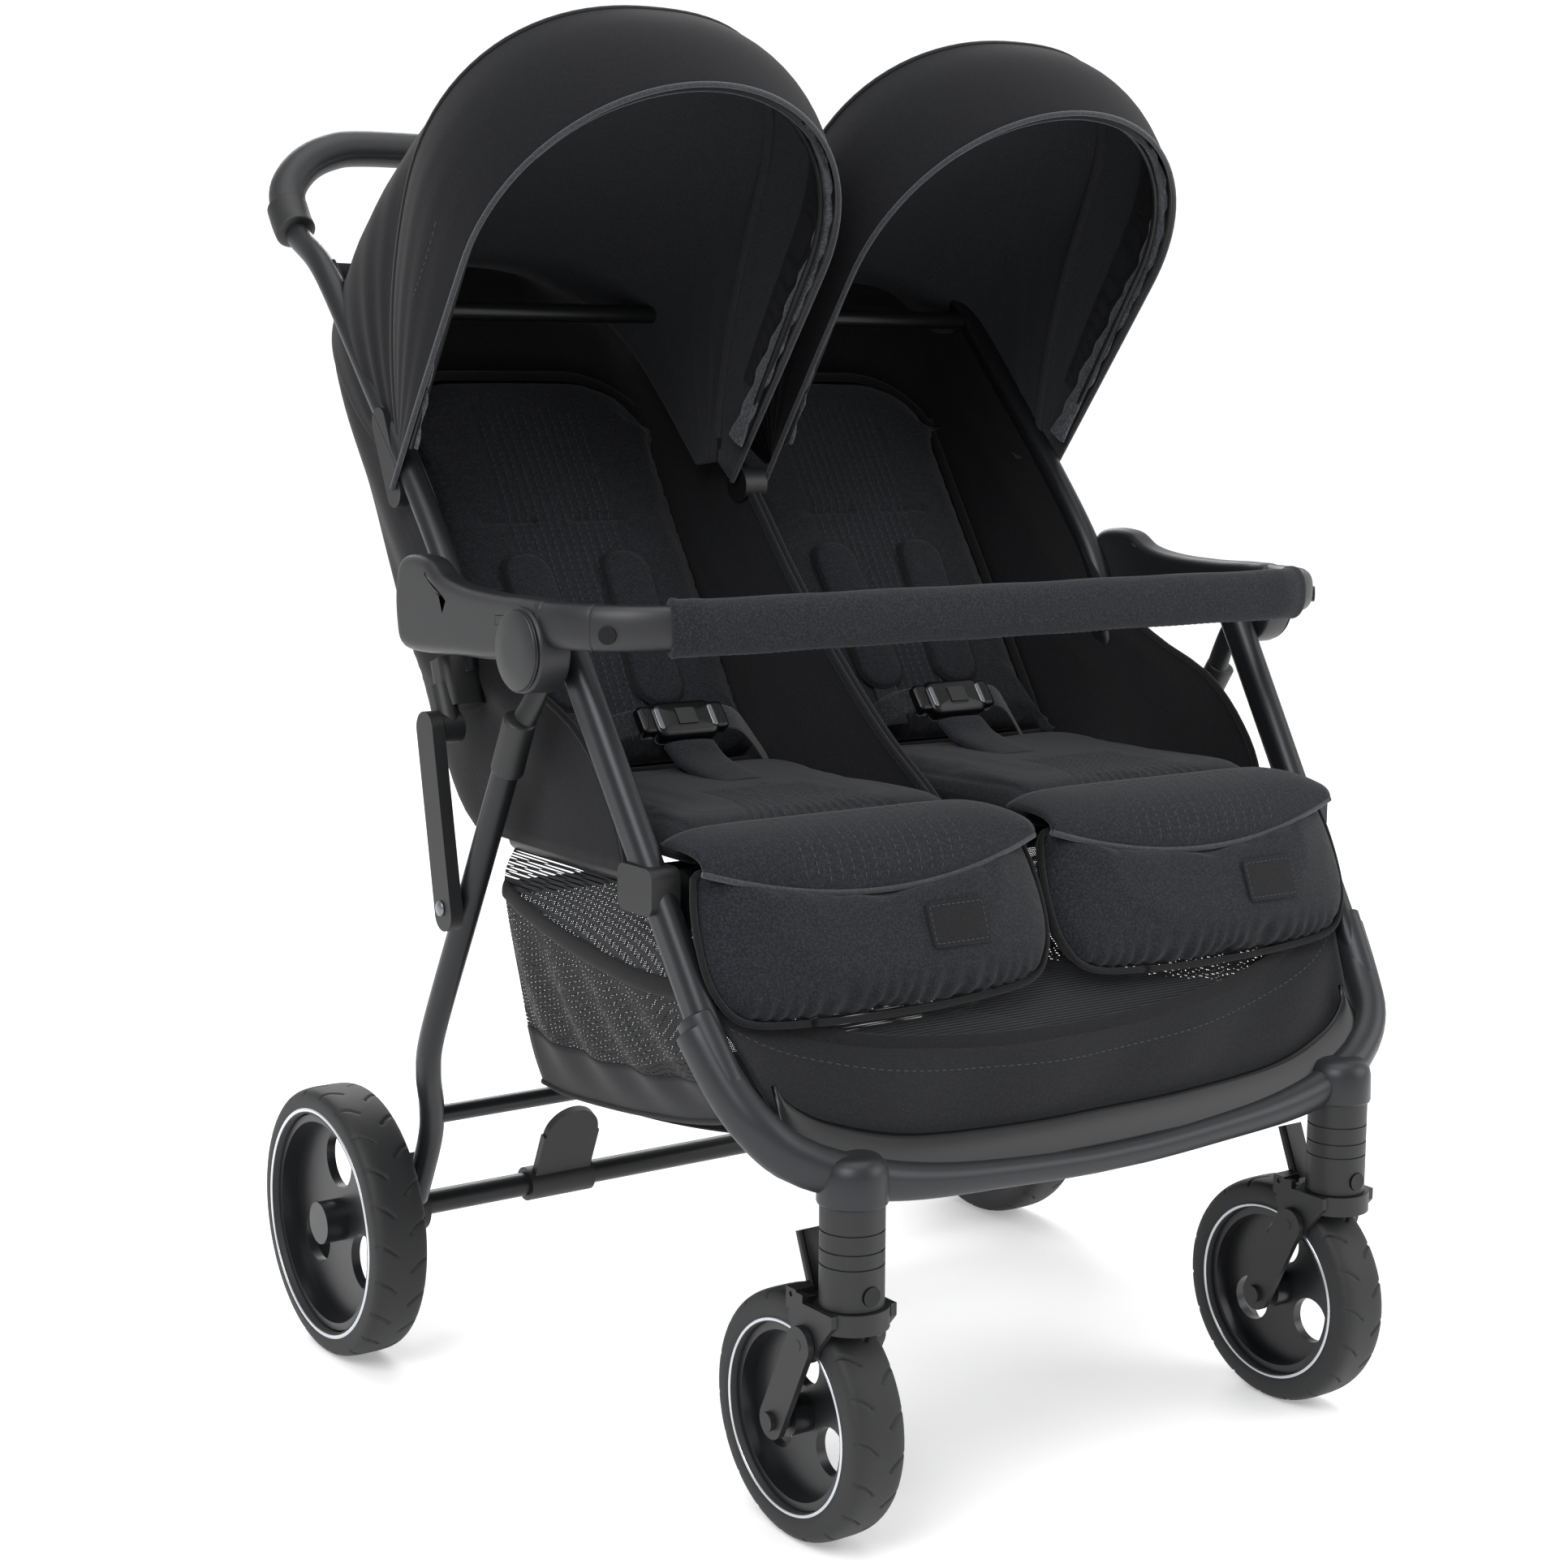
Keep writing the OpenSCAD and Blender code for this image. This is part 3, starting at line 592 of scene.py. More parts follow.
def stitches(name, lines, target, material, toward, length=0.0042, space=0.0026, r=0.00045):
    """Dashes along lines of points, each dropped onto target along toward and lying on its surface."""
    tree = BVHTree.FromObject(target, bpy.context.evaluated_depsgraph_get())
    toward = Vector(toward).normalized()
    verts, faces = [], []
    for line in lines:
        p = np.asarray(line, float)
        s = np.r_[0, np.cumsum(np.linalg.norm(np.diff(p, axis=0), axis=1))]
        for start in np.arange(space / 2, s[-1] - length, length + space):
            ends = []
            for u in (start, start + length):
                q = Vector([float(np.interp(u, s, p[:, k])) for k in range(3)])
                hit = tree.ray_cast(q - toward * 0.06, toward, 0.14)
                if hit[0] is None:
                    break
                ends.append((hit[0], hit[1]))
            if len(ends) < 2 or (ends[0][0] - ends[1][0]).length > 3 * length:
                continue
            (p0, n0), (p1, n1) = ends
            d = (p1 - p0).normalized()
            w = d.cross(n0).normalized()
            base = len(verts)
            for q, n, k in ((p0, n0, 0.4), (p0 + d * r, n0, 1.0), (p1 - d * r, n1, 1.0), (p1, n1, 0.4)):
                for a in range(6):
                    c = math.cos(a * math.pi / 3), math.sin(a * math.pi / 3)
                    verts.append(q + n * (r * 0.3) + (w * c[0] + n * c[1] * 0.8) * (r * k))
            for i in range(3):
                for a in range(6):
                    b2 = (a + 1) % 6
                    faces.append(
                        (
                            base + i * 6 + a,
                            base + i * 6 + b2,
                            base + i * 6 + 6 + b2,
                            base + i * 6 + 6 + a,
                        )
                    )
            faces.append(tuple(base + a for a in range(6))[::-1])
            faces.append(tuple(base + 18 + a for a in range(6)))
    return mesh_object(name, np.array([tuple(v) for v in verts]), faces, material)


# ---- wheels and casters ----

REAR_TRIM_RADIUS, FRONT_TRIM_RADIUS = 0.0968, 0.0705


def tyre(name, centre, radius, bead, width, slits):
    """A tyre section turned about X, with shallow curved slits pressed in to both sides of its tread.
    A slit is where the distance from a slanted, slightly bent line on the tread is under its half width."""
    h = width / 2
    a = np.linspace(-1, 1, 45)
    shoulder = radius - bead
    rr = bead + shoulder * (1 - np.abs(a) ** 3.2) ** (1 / 2.4)
    outer = np.stack([rr, h * np.sin(a * np.pi / 2)], -1)
    inner = np.array([[bead, h * 0.6], [bead, 0.0], [bead, -h * 0.6]])
    profile = np.vstack([outer, inner])

    def press(th, r, s):
        depth = np.zeros(np.broadcast(th, r).shape)
        for sign in (-1, 1):
            lane = np.clip((sign * s / h - 0.30) / 0.62, 0, 1)
            inside = (
                (sign * s / h > 0.28) & (sign * s / h < 0.94) & (r > bead + 0.3 * shoulder)
            ).astype(float)
            phase = (th * slits / (2 * np.pi) + (0.5 if sign > 0 else 0) + 0.55 * lane - 0.25 * lane**2) % 1.0
            gap = np.minimum(phase, 1 - phase) * 2 * np.pi * radius / slits
            depth += inside * 0.0016 * np.exp(-((gap / 0.0012) ** 4))
        return r - depth, s

    return lathe(name, centre, profile, TYRE, count=512, shape=press)


for side, word, letter in SIDES:
    low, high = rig.box(f"rear_tyre_{word}")
    c = (low + high) / 2
    rear = tyre(f"rear_tyre_skin_{word}", c, (high.z - low.z) / 2, 0.0935, high.x - low.x, 22)
    fitted(rear, f"rear_wheel_{letter}", "tyre", [f"rear_tyre_{word}"])
    half_width = (high.x - low.x) / 2
    ring = lathe(f"rear_trim_{word}", c, oval(REAR_TRIM_RADIUS, side * half_width, 0.0017, 0.0008, 12), SILVER)
    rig.ride(ring, f"rear_wheel_{letter}")
    dress(f"rear_rim_{word}", RIM_PLASTIC)
    low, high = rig.box(f"front_tyre_{word}")
    c = (low + high) / 2
    front = tyre(f"front_tyre_skin_{word}", c, (high.z - low.z) / 2, 0.0685, high.x - low.x, 18)
    fitted(front, f"front_wheel_{letter}", "tyre", [f"front_tyre_{word}"])
    half_width = (high.x - low.x) / 2
    rings = [
        lathe(f"front_trim_{word}_{s}", c, oval(FRONT_TRIM_RADIUS, s * half_width, 0.0013, 0.0008, 12), SILVER)
        for s in (-1, 1)
    ]
    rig.ride(joined(f"front_trim_{word}", rings), f"front_wheel_{letter}")
    dress(f"front_rim_{word}", RIM_PLASTIC)
    for node, material in (
        (f"yoke_{word}", PLASTIC),
        (f"suspension_arm_{word}", PLASTIC),
        (f"swivel_lock_{word}", GLOSS),
        (f"caster_button_{word}", GLOSS),
        (f"bar_button_{word}", GLOSS),
        (f"buckle_button_{word}", PLASTIC),
        (f"front_bow_{word}", PLASTIC),
    ):
        dress(node, material)

for node, material in (
    ("caster_columns", PLASTIC),
    ("hub_bolts", STEEL),
    ("front_legs", ANODISED),
    ("seat_frame", BLACK_TUBE),
    ("seat_brackets", PLASTIC),
    ("rear_axle", BLACK_TUBE),
    ("rear_cross_tube", BLACK_TUBE),
    ("axle_housings", PLASTIC),
    ("fold_links", PLASTIC),
    ("brake_pedal", PLASTIC),
    ("handle_sleeves", PLASTIC),
    ("handle_crossbar", BLACK_TUBE),
    ("canopy_mounts", PLASTIC),
):
    dress(node, material)

# ---- smooth tubes, arms and castings in place of the jointed CAD ones ----

CAST_LINE = [
    (0.320, -0.500, 0.378, 14.0),
    (0.312, -0.525, 0.343, 14.3),
    (0.300, -0.546, 0.316, 14.7),
    (0.277, -0.559, 0.294, 15.2),
    (0.240, -0.571, 0.279, 14.5),
    (0.190, -0.577, 0.268, 12.5),
    (0.120, -0.582, 0.262, 10),
    (0.0, -0.584, 0.257, 9),
]


def both_ways(line):
    """A half line from the side to the middle, continued to the other side."""
    rest = [(-p[0],) + tuple(p[1:]) for p in line[:-1]][::-1]
    return np.array(list(line) + rest, float)


cast = curve_through(both_ways(CAST_LINE), 150)
bow = sweep(
    "front_bow_casting",
    cast[:, :3] + [0, AHEAD, 0],
    cast[:, 3] / 1000,
    cast[:, 3] / 1000 * 1.12,
    CAST,
    up=(0, -0.5, 0.86),
    around=40,
    power=2.2,
)
bosses = []
for side, word, letter in SIDES:
    profile = [
        (0, 0.2955),
        (0.012, 0.2955),
        (0.019, 0.294),
        (0.0235, 0.2895),
        (0.0252, 0.283),
        (0.0256, 0.263),
        (0.0250, 0.2615),
        (0, 0.2615),
    ]
    bosses.append(
        lathe(
            f"caster_boss_{word}",
            (side * 0.239, -0.575 + AHEAD, 0),
            profile,
            CAST,
            axis="Z",
            closed=False,
        )
    )
    # the sleeve where the leg's tube enters the casting
    leg = curve_through(
        [
            at(side * 0.3115, -0.526, 0.342),
            at(side * 0.3165, -0.505, 0.374),
            at(side * 0.3185, -0.497, 0.386),
        ],
        14,
    )
    bosses.append(sweep(f"leg_socket_{word}", leg, 0.0128, 0.0165, CAST, up=(0, -0.8, 0.5), around=32))
casting = joined("front_casting_skin", [bow] + bosses)
fitted(casting, "front_frame", "cast_frame", ["front_casting"])

# half outline of the gloss foot strip in the casting's slanted plane, across and up the slant
STRIP = [
    (0.0, 0.0005),
    (0.133, 0.0025),
    (0.220, 0.008),
    (0.258, 0.022),
    (0.282, 0.048),
    (0.279, 0.09),
    (0.270, 0.074),
    (0.240, 0.056),
    (0.177, 0.038),
    (0.078, 0.031),
    (0.0, 0.0305),
]
lean = math.radians(57.6)


def on_slant(p):
    """Plane through (Y -0.579, Z 0.262) that leans back with the legs."""
    u, v, w = p.T
    return np.stack(
        [
            u,
            -0.579 + AHEAD + v * math.cos(lean) - w * math.sin(lean),
            0.262 + v * math.sin(lean) + w * math.cos(lean),
        ],
        -1,
    )


rows = []
lower = curve_through(STRIP[:6], 60)
upper = curve_through(STRIP[5:][::-1], 60)
for t in np.linspace(0, 1, 9):
    row = lower + (upper - lower) * t
    lift = 0.0045 + 0.0018 * math.sin(math.pi * t)
    rows.append(np.vstack([np.c_[row[::-1] * [-1, 1], np.full(60, lift)], np.c_[row, np.full(60, lift)][1:]]))
top = on_slant(np.vstack(rows))
strip = mesh_object("foot_strip", top, grid_faces(9, rows[0].shape[0]), GLOSS)
thick = strip.modifiers.new("thickness", "SOLIDIFY")
thick.thickness, thick.offset = 0.003, 0
fitted(strip, "front_frame", "gloss_plastic", ["footboard"])

HANDLE_SIDE = [
    (0.329, -0.188, 0.600),
    (0.329, -0.165, 0.665),
    (0.329, -0.102, 0.745),
    (0.329, -0.03, 0.823),
    (0.329, 0.055, 0.912),
    (0.327, 0.112, 0.944),
    (0.325, 0.136, 0.966),
]
HANDLE_TOP = [
    (0.325, 0.1355, 0.965, 0),
    (0.3185, 0.149, 0.986, 0),
    (0.300, 0.157, 1.006, 0),
    (0.275, 0.1595, 1.0185, 0),
    (0.243, 0.160, 1.0235, 0),
    (0.15, 0.160, 1.024, 0),
    (0.0, 0.160, 1.024, 0),
]
sides = []
for side, word, letter in SIDES:
    line = curve_through([at(side * x, y, z) for x, y, z in HANDLE_SIDE], 60)
    sides.append(sweep(f"handle_side_{word}", line, 0.0104, 0.0104, ANODISED, up=(1, 0, 0), around=36))
tubes = joined("handle_side_tubes", sides)
fitted(tubes, "handle_frame", "anodised_frame", ["handle_tubes"])
line = curve_through(both_ways(HANDLE_TOP), 160)[:, :3] + [0, AHEAD, 0]


def grip_swell(t, phi):
    """Fine stitched seam under the grip: a narrow groove along its lower rear side."""
    return 1 - 0.05 * np.exp(-(((phi - 4.2) / 0.05) ** 2))


grip = sweep("handle_grip_cover", line, 0.0154, 0.0154, GRIP, up=(0, 1, 0), around=64, wave=grip_swell)
collars = []
for side, word, letter in SIDES:
    p = curve_through(
        [
            at(side * 0.3265, 0.118, 0.948),
            at(side * 0.3262, 0.126, 0.9555),
            at(side * 0.3250, 0.1375, 0.9685),
        ],
        12,
    )
    collars.append(sweep(f"grip_collar_{word}", p, 0.0172, 0.0172, PLASTIC, up=(1, 0, 0), around=40))
collar = joined("handle_grip_collars", collars)
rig.replaces(grip, "handle_grip", "handlebar")
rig.slot(grip, "grip_leather")
for o in (grip, collar):
    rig.ride(o, "handle_frame")
grip_stitch = stitches(
    "handle_grip_stitching",
    [line[4:-4] + [0, 0.02, -0.0042]],
    grip,
    THREAD,
    (0, -1, 0),
    0.003,
    0.0018,
    0.0004,
)
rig.ride(grip_stitch, "handle_frame")

REAR_LEG = [
    (0.352, -0.309, 0.574),
    (0.350, -0.262, 0.495),
    (0.348, -0.215, 0.416),
    (0.345, -0.150, 0.308),
    (0.337, -0.125, 0.268),
    (0.322, -0.100, 0.232),
    (0.312, -0.076, 0.196),
    (0.308, -0.040, 0.136),
]
parts = []
for side, word, letter in SIDES:
    line = curve_through([at(side * x, y, z) for x, y, z in REAR_LEG], 70)
    parts.append(sweep(f"rear_leg_{word}", line, 0.0099, 0.0105, ANODISED, up=(1, 0, 0), around=36))
    # pressed head of the leg, flat where it lies behind the arm's hub
    head = curve_through(
        [
            at(side * 0.3427, -0.345, 0.633),
            at(side * 0.3435, -0.326, 0.602),
            at(side * 0.3500, -0.306, 0.569),
        ],
        20,
    )
    parts.append(
        sweep(
            f"rear_leg_head_{word}",
            head,
            0.0102,
            np.linspace(0.002, 0.009, 20),
            PLASTIC,
            up=(1, 0, 0),
            around=32,
        )
    )
    collar_line = curve_through(
        [
            at(side * 0.3520, -0.311, 0.577),
            at(side * 0.3508, -0.296, 0.552),
            at(side * 0.3502, -0.288, 0.538),
        ],
        10,
    )
    parts.append(
        sweep(f"rear_leg_collar_{word}", collar_line, 0.0125, 0.0125, PLASTIC, up=(1, 0, 0), around=32)
    )
    parts.append(
        lathe(
            f"link_pin_{word}",
            at(0, -0.221, 0.424),
            [
                (0, side * 0.340),
                (0.004, side * 0.340),
                (0.004, side * 0.3725),
                (0.0062, side * 0.3728),
                (0.006, side * 0.3744),
                (0.0035, side * 0.3752),
                (0, side * 0.3754),
            ],
            STEEL,
            closed=False,
            count=32,
        )
    )
legs = joined("rear_leg_tubes", parts)
fitted(legs, "rear_frame", "anodised_frame", ["rear_legs"])


def on_side_plane(side, x):
    """Turns outline points (forward Y, Z, outward) into row points beside the middle plane."""

    def place(p):
        return np.stack([side * (x + p[:, 2]), p[:, 0] + AHEAD, p[:, 1]], -1)

    return place


ARM = [
    (-0.140, 0.664),
    (-0.1405, 0.640),
    (-0.147, 0.622),
    (-0.170, 0.617),
    (-0.240, 0.6195),
    (-0.300, 0.622),
    (-0.350, 0.634),
    (-0.369, 0.640),
    (-0.369, 0.667),
    (-0.345, 0.6705),
    (-0.300, 0.670),
    (-0.250, 0.672),
    (-0.215, 0.678),
    (-0.193, 0.6895),
    (-0.165, 0.6915),
    (-0.148, 0.685),
]
ARM_HUB = (-0.345, 0.633)
BAR_CENTRE = (0.2765, -0.366, 0.653)
BAR_BEND = 0.080
for side, word, letter in SIDES:
    outline = curve_through(ARM, 120, closed=True)
    area = (
        0.5
        * np.sum(
            outline[:, 0] * np.roll(outline[:, 1], -1) - np.roll(outline[:, 0], -1) * outline[:, 1]
        )
    )
    if area < 0:
        outline = outline[::-1]
    body = slab(
        f"arm_body_{word}",
        outline,
        0.0,
        0.0232,
        0.007,
        on_side_plane(side, 0.345),
        ARM_PLASTIC,
        steps=6,
    )
    hub = slab(
        f"arm_hub_{word}",
        oval(*ARM_HUB, 0.0315, 0.0315, 72),
        0.0,
        0.0262,
        0.003,
        on_side_plane(side, 0.345),
        ARM_PLASTIC,
    )
    turn = np.radians(np.linspace(-1, 32, 16))
    elbow = np.stack(
        [
            side * (BAR_CENTRE[0] + BAR_BEND * np.cos(turn)),
            BAR_CENTRE[1] + AHEAD - BAR_BEND * np.sin(turn),
            np.full(16, 0.653),
        ],
        -1,
    )
    socket = sweep(
        f"arm_socket_{word}", elbow, 0.0112, 0.0168, ARM_PLASTIC, up=(0, 0, 1), around=40, power=2.8
    )
    arm = joined(f"arm_skin_{word}", [body, hub, socket])
    fitted(arm, "arm_frame", "arm_plastic", ["arms"] if side < 0 else [])
    cap_ring = oval(*ARM_HUB, 0.0292, 0.0292, 72)
    cap = slab(
        f"arm_cap_{word}",
        cap_ring,
        0.0,
        0.0035,
        0.0016,
        on_side_plane(side, 0.3715),
        ARM_PLASTIC,
        steps=5,
        dome=0.001,
    )
    cap_rim = lathe(
        f"arm_cap_ring_{word}",
        at(0, *ARM_HUB),
        oval(0.0296, side * 0.3724, 0.0009, 0.0009, 8),
        ANODISED,
    )
    cap = joined(f"arm_cap_disc_{word}", [cap, cap_rim])
    fitted(cap, "arm_frame", "arm_plastic", ["arm_caps"] if side < 0 else [])

# bumper bar: plastic ends, then a cloth cover with a folded hem at each end
turn = np.radians(np.linspace(32.5, 90, 40))
half = np.stack(
    [
        BAR_CENTRE[0] + BAR_BEND * np.cos(turn),
        BAR_CENTRE[1] - BAR_BEND * np.sin(turn),
        np.full(40, 0.653),
    ],
    -1,
)
straight = np.linspace(BAR_CENTRE[0], 0, 40)[1:]
half = np.vstack([half, np.stack([straight, np.full(39, BAR_CENTRE[1] - BAR_BEND), np.full(39, 0.653)], -1)])
core = np.vstack([half, half[::-1][1:] * [-1, 1, 1]]) + [0, AHEAD, 0]
bar = sweep("bumper_bar_core", core, 0.0108, 0.0165, ARM_PLASTIC, up=(0, 0, 1), around=40, power=2.6)
fitted(bar, "bumper", "arm_plastic", ["bumper_bar"])
covered = core[26:-26]
n = len(covered)
t = np.linspace(0, 1, n)
hem = np.exp(-((t * n / 2.0) ** 2)) + np.exp(-(((1 - t) * n / 2.0) ** 2))


def cover_wave(t, phi):
    """Slight slackness of the cover: long soft ripples along the bar and one flattened side."""
    return 1 + 0.012 * np.sin(t * 47 + 2.3 * np.sin(phi)) * np.sin(phi) + 0.010 * np.sin(t * 19 + phi)


cover = sweep(
    "bumper_cover_cloth",
    covered,
    0.0128 + 0.0012 * hem,
    0.0205 + 0.0012 * hem,
    MELANGE,
    up=(0, 0, 1),
    around=56,
    power=2.3,
    wave=cover_wave,
)
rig.replaces(cover, "bumper_cover")
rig.slot(cover, "seat_fabric")
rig.padded(cover, 0.5)
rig.ride(cover, "bumper")
under_seam = stitches(
    "bumper_cover_stitching",
    [covered[3:-3] + [0, -0.004, -0.03]],
    cover,
    THREAD,
    (0, 0, 1),
    0.004,
    0.003,
)
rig.ride(under_seam, "bumper")

# ---- canopies ----

HUB = (-0.085, 0.735)
CANOPY_X = 0.1795
COUNT = 90


def bow_curve(half_width, top, power, side_lean, top_lean, low=0.012, narrow=0.1):
    """One bow as seen along its own plane: straight legs up from the hub line, then a superellipse crown.
    Each point leans forward about the hub axis, from side_lean near the hub to top_lean at the crown."""
    b = half_width
    a = np.linspace(0, np.pi, 60)
    x = -half_width * np.sign(np.cos(a)) * np.abs(np.cos(a)) ** (2 / power)
    h = top - b + b * np.abs(np.sin(a)) ** (2 / power)
    legs = np.linspace(low, top - b, 16)[:-1]
    taper = 1 - narrow * (1 - legs / (top - b)) ** 2
    x = np.r_[-half_width * taper, x, half_width * taper[::-1]]
    h = np.r_[legs, h, legs[::-1]]
    p = curve_through(np.stack([x, h], -1), COUNT)
    lean = np.radians(side_lean + (top_lean - side_lean) * np.clip(p[:, 1] / top, 0, 1))
    return np.stack([p[:, 0], HUB[0] - p[:, 1] * np.sin(lean), HUB[1] + p[:, 1] * np.cos(lean)], -1)


REAR_BOW = bow_curve(0.152, 0.270, 2.6, -58, -46, low=0.03)
MID_BOW = bow_curve(0.1635, 0.397, 2.35, -8, 21, low=0.02)
FRONT_BOW = bow_curve(0.1645, 0.385, 2.02, 36.5, 37.2, low=0.004, narrow=0.015)


def beyond_hub(degrees):
    """The point 0.3 m from the canopy hub at a lean of so many degrees forward of straight up."""
    lean = math.radians(degrees)
    return at(0, HUB[0] - 0.3 * math.sin(lean), HUB[1] + 0.3 * math.cos(lean))


def panel(first, last, rows, crown, wide, side):
    """Cloth between two bows: rows of points between the two curves. Between them it stands out by crown over
    the top and moves sideways by wide at the shoulders."""
    t = np.linspace(0, 1, rows)[:, None, None]
    p = first[None] * (1 - t) + last[None] * t
    k = np.linspace(0, 1, first.shape[0])[None, :]
    arch = np.sin(np.pi * k) ** 1.5
    mid = np.sin(np.pi * t[:, :, 0])
    axis = np.stack([np.zeros_like(p[..., 0]), p[..., 1] - HUB[0], p[..., 2] - HUB[1]], -1)
    axis /= np.linalg.norm(axis, axis=2)[..., None]
    p = p + axis * (crown * mid * arch)[..., None]
    shoulder = np.sin(2 * np.pi * np.clip(k, 0, 1)) * np.abs(np.sin(2 * np.pi * k))
    p[..., 0] -= wide * mid * shoulder
    p = p + [side * CANOPY_X, AHEAD, 0]
    return p


def cloth(name, points, material, lining, thickness):
    """Two layers of cloth: the outer in one material and the inner in another, closed round their edge."""
    rows, cols = points.shape[:2]
    du = np.gradient(points, axis=0)
    dv = np.gradient(points, axis=1)
    n = np.cross(du, dv)
    n /= np.linalg.norm(n, axis=2)[..., None] + 1e-12
    centre = points.reshape(-1, 3).mean(0)
    centre[2] = HUB[1]
    flip = np.sign(((points - centre) * n).sum(2).mean())
    inner = points - n * flip * thickness
    verts = np.vstack([points.reshape(-1, 3), inner.reshape(-1, 3)])
    top = grid_faces(rows, cols)
    under = top[:, ::-1] + rows * cols
    rim = np.r_[
        np.arange(cols),
        np.arange(1, rows) * cols + cols - 1,
        (rows - 1) * cols + np.arange(cols - 2, -1, -1),
        np.arange(rows - 2, 0, -1) * cols,
    ]
    edge = np.stack([rim, rim + rows * cols, np.roll(rim, -1) + rows * cols, np.roll(rim, -1)], -1)
    made = mesh_object(name, verts, np.vstack([top, under, edge]), material)
    made.data.materials.append(lining)
    index = np.r_[np.zeros(len(top)), np.ones(len(under)), np.zeros(len(edge))].astype(int)
    made.data.polygons.foreach_set("material_index", index)
    return outward(made)


for side, word, letter in SIDES:
    mid_body, front_body = f"canopy_mid_{letter}", f"canopy_front_{letter}"
    rear_points = panel(REAR_BOW, MID_BOW, 34, 0.012, 0.006, side)
    front_points = panel(MID_BOW, FRONT_BOW, 34, 0.011, 0.012, side)
    # soft wrinkles that run from the hubs up over the shoulders
    for pts, amount in ((rear_points, 0.0010), (front_points, 0.0005)):
        k = np.linspace(0, 1, pts.shape[1])[None, :]
        t = np.linspace(0, 1, pts.shape[0])[:, None]
        ripple = (
            np.sin(9 * t * np.pi + 3 * k) * np.exp(-(((k - 0.12) / 0.14) ** 2))
            + np.sin(8 * t * np.pi - 2 * k) * np.exp(-(((k - 0.88) / 0.14) ** 2))
        )
        pts[..., 0] += amount * ripple * np.sin(np.pi * t)
    rear = cloth(f"canopy_rear_cloth_{word}", rear_points, CANOPY, LINING, 0.0016)
    front = cloth(f"canopy_visor_cloth_{word}", front_points, CANOPY, LINING, 0.0016)
    seam_path = front_points[0]
    seam = sweep(
        f"canopy_seam_{word}",
        seam_path[1:-1],
        0.0036,
        0.0016,
        BINDING,
        up=(seam_path[1:-1] - [side * CANOPY_X, HUB[0] + AHEAD, HUB[1]]),
        around=16,
    )
    hem_path = front_points[-1]
    piping = sweep(f"canopy_piping_{word}", hem_path, 0.0022, 0.0022, PIPING, up=(0, 1, 0), around=20)
    hem_stitch = stitches(
        f"canopy_stitching_{word}",
        [
            front_points[-3] * 0.6
            + front_points[-2] * 0.4
            + (front_points[-3] - [side * CANOPY_X, HUB[0] + AHEAD, HUB[1]]) * 0.05
        ],
        front,
        THREAD,
        (0, 0, -1),
        0.004,
        0.0028,
        0.00045,
    )
    inner_bow = front_points[0] + ([side * CANOPY_X, HUB[0] + AHEAD, HUB[1]] - front_points[0]) * 0.012
    inner_seam = sweep(
        f"canopy_inner_bow_{word}",
        inner_bow[2:-2],
        0.0042,
        0.0028,
        LINING,
        up=(inner_bow[2:-2] - [side * CANOPY_X, HUB[0] + AHEAD, HUB[1]]),
        around=16,
    )
    # window strip of net behind the front edge, under a grey flap over its upper third
    hub_point = np.array([side * CANOPY_X, HUB[0] + AHEAD, HUB[1]])
    q = front_points
    inwards = hub_point - q
    inwards /= np.linalg.norm(inwards, axis=2)[..., None]
    net = (q + inwards * 0.0048)[14:32, 8:82]
    window = mesh_object(
        f"canopy_window_net_{word}",
        net.reshape(-1, 3),
        grid_faces(net.shape[0], net.shape[1]),
        FINE_NET,
    )
    flap_grid = (q + inwards * 0.0085)[12:33, 30:60]
    flap_ripple = np.sin(np.linspace(0, 14, 30))[None, :] * np.linspace(1, 0.2, 21)[:, None] * 0.001
    flap = cloth(
        f"canopy_window_flap_{word}", flap_grid + flap_ripple[..., None] * [0, 0, 1], FLAP, FLAP, 0.0012
    )
    tapes = []
    for cols in (np.arange(4, 36), np.arange(COUNT - 36, COUNT - 4)):
        path = (q + inwards * 0.010)[28][cols]
        m = len(path)
        gather = 1 + 0.22 * np.sin(np.arange(m) * 2.1) + 0.1 * np.sin(np.arange(m) * 5.3)
        fine = curve_through(path, 110)
        gf = np.interp(np.linspace(0, m - 1, 110), np.arange(m), gather)
        tapes.append(
            sweep(
                f"tape_{word}_{cols[0]}",
                fine,
                0.0085 * gf,
                0.0024 * gf,
                TAPE,
                up=(fine - hub_point),
                around=18,
            )
        )
    tape = joined(f"canopy_elastic_tape_{word}", tapes)
    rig.replaces(rear, *(["canopy_rears"] if side < 0 else []), f"canopy_mid_{word}")
    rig.replaces(front, f"canopy_front_{word}")
    for o in (rear, front):
        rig.slot(o, "canopy_fabric")
    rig.slot(seam, "canopy_fabric")
    # rear cloth goes from the handle frame to the middle bow, the visor from the middle bow to the front bow
    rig.blend(rear, "handle_frame", mid_body, beyond_hub(-44), beyond_hub(12))
    for o in (front, window, flap, hem_stitch):
        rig.blend(o, mid_body, front_body, beyond_hub(14), beyond_hub(37))
    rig.sheet(
        rear,
        held="stretched",
        rests_on=[f"canopy_mid_{word}", "canopy_mounts"],
        **cut_from(rear_points),
    )
    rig.sheet(
        front,
        held="stretched",
        rests_on=[f"canopy_mid_{word}", f"front_bow_{word}"],
        **cut_from(front_points),
    )
    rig.sheet(window, held="stretched", rests_on=[front], **cut_from(net))
    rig.sheet(flap, held="hung", rests_on=[front], **cut_from(flap_grid))
    for o in (seam, inner_seam):
        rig.ride(o, mid_body)
    for o in (piping, tape):
        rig.ride(o, front_body)

# ---- seats ----

SEAT_X = 0.158
BACK_HINGE = (-0.150, 0.500)


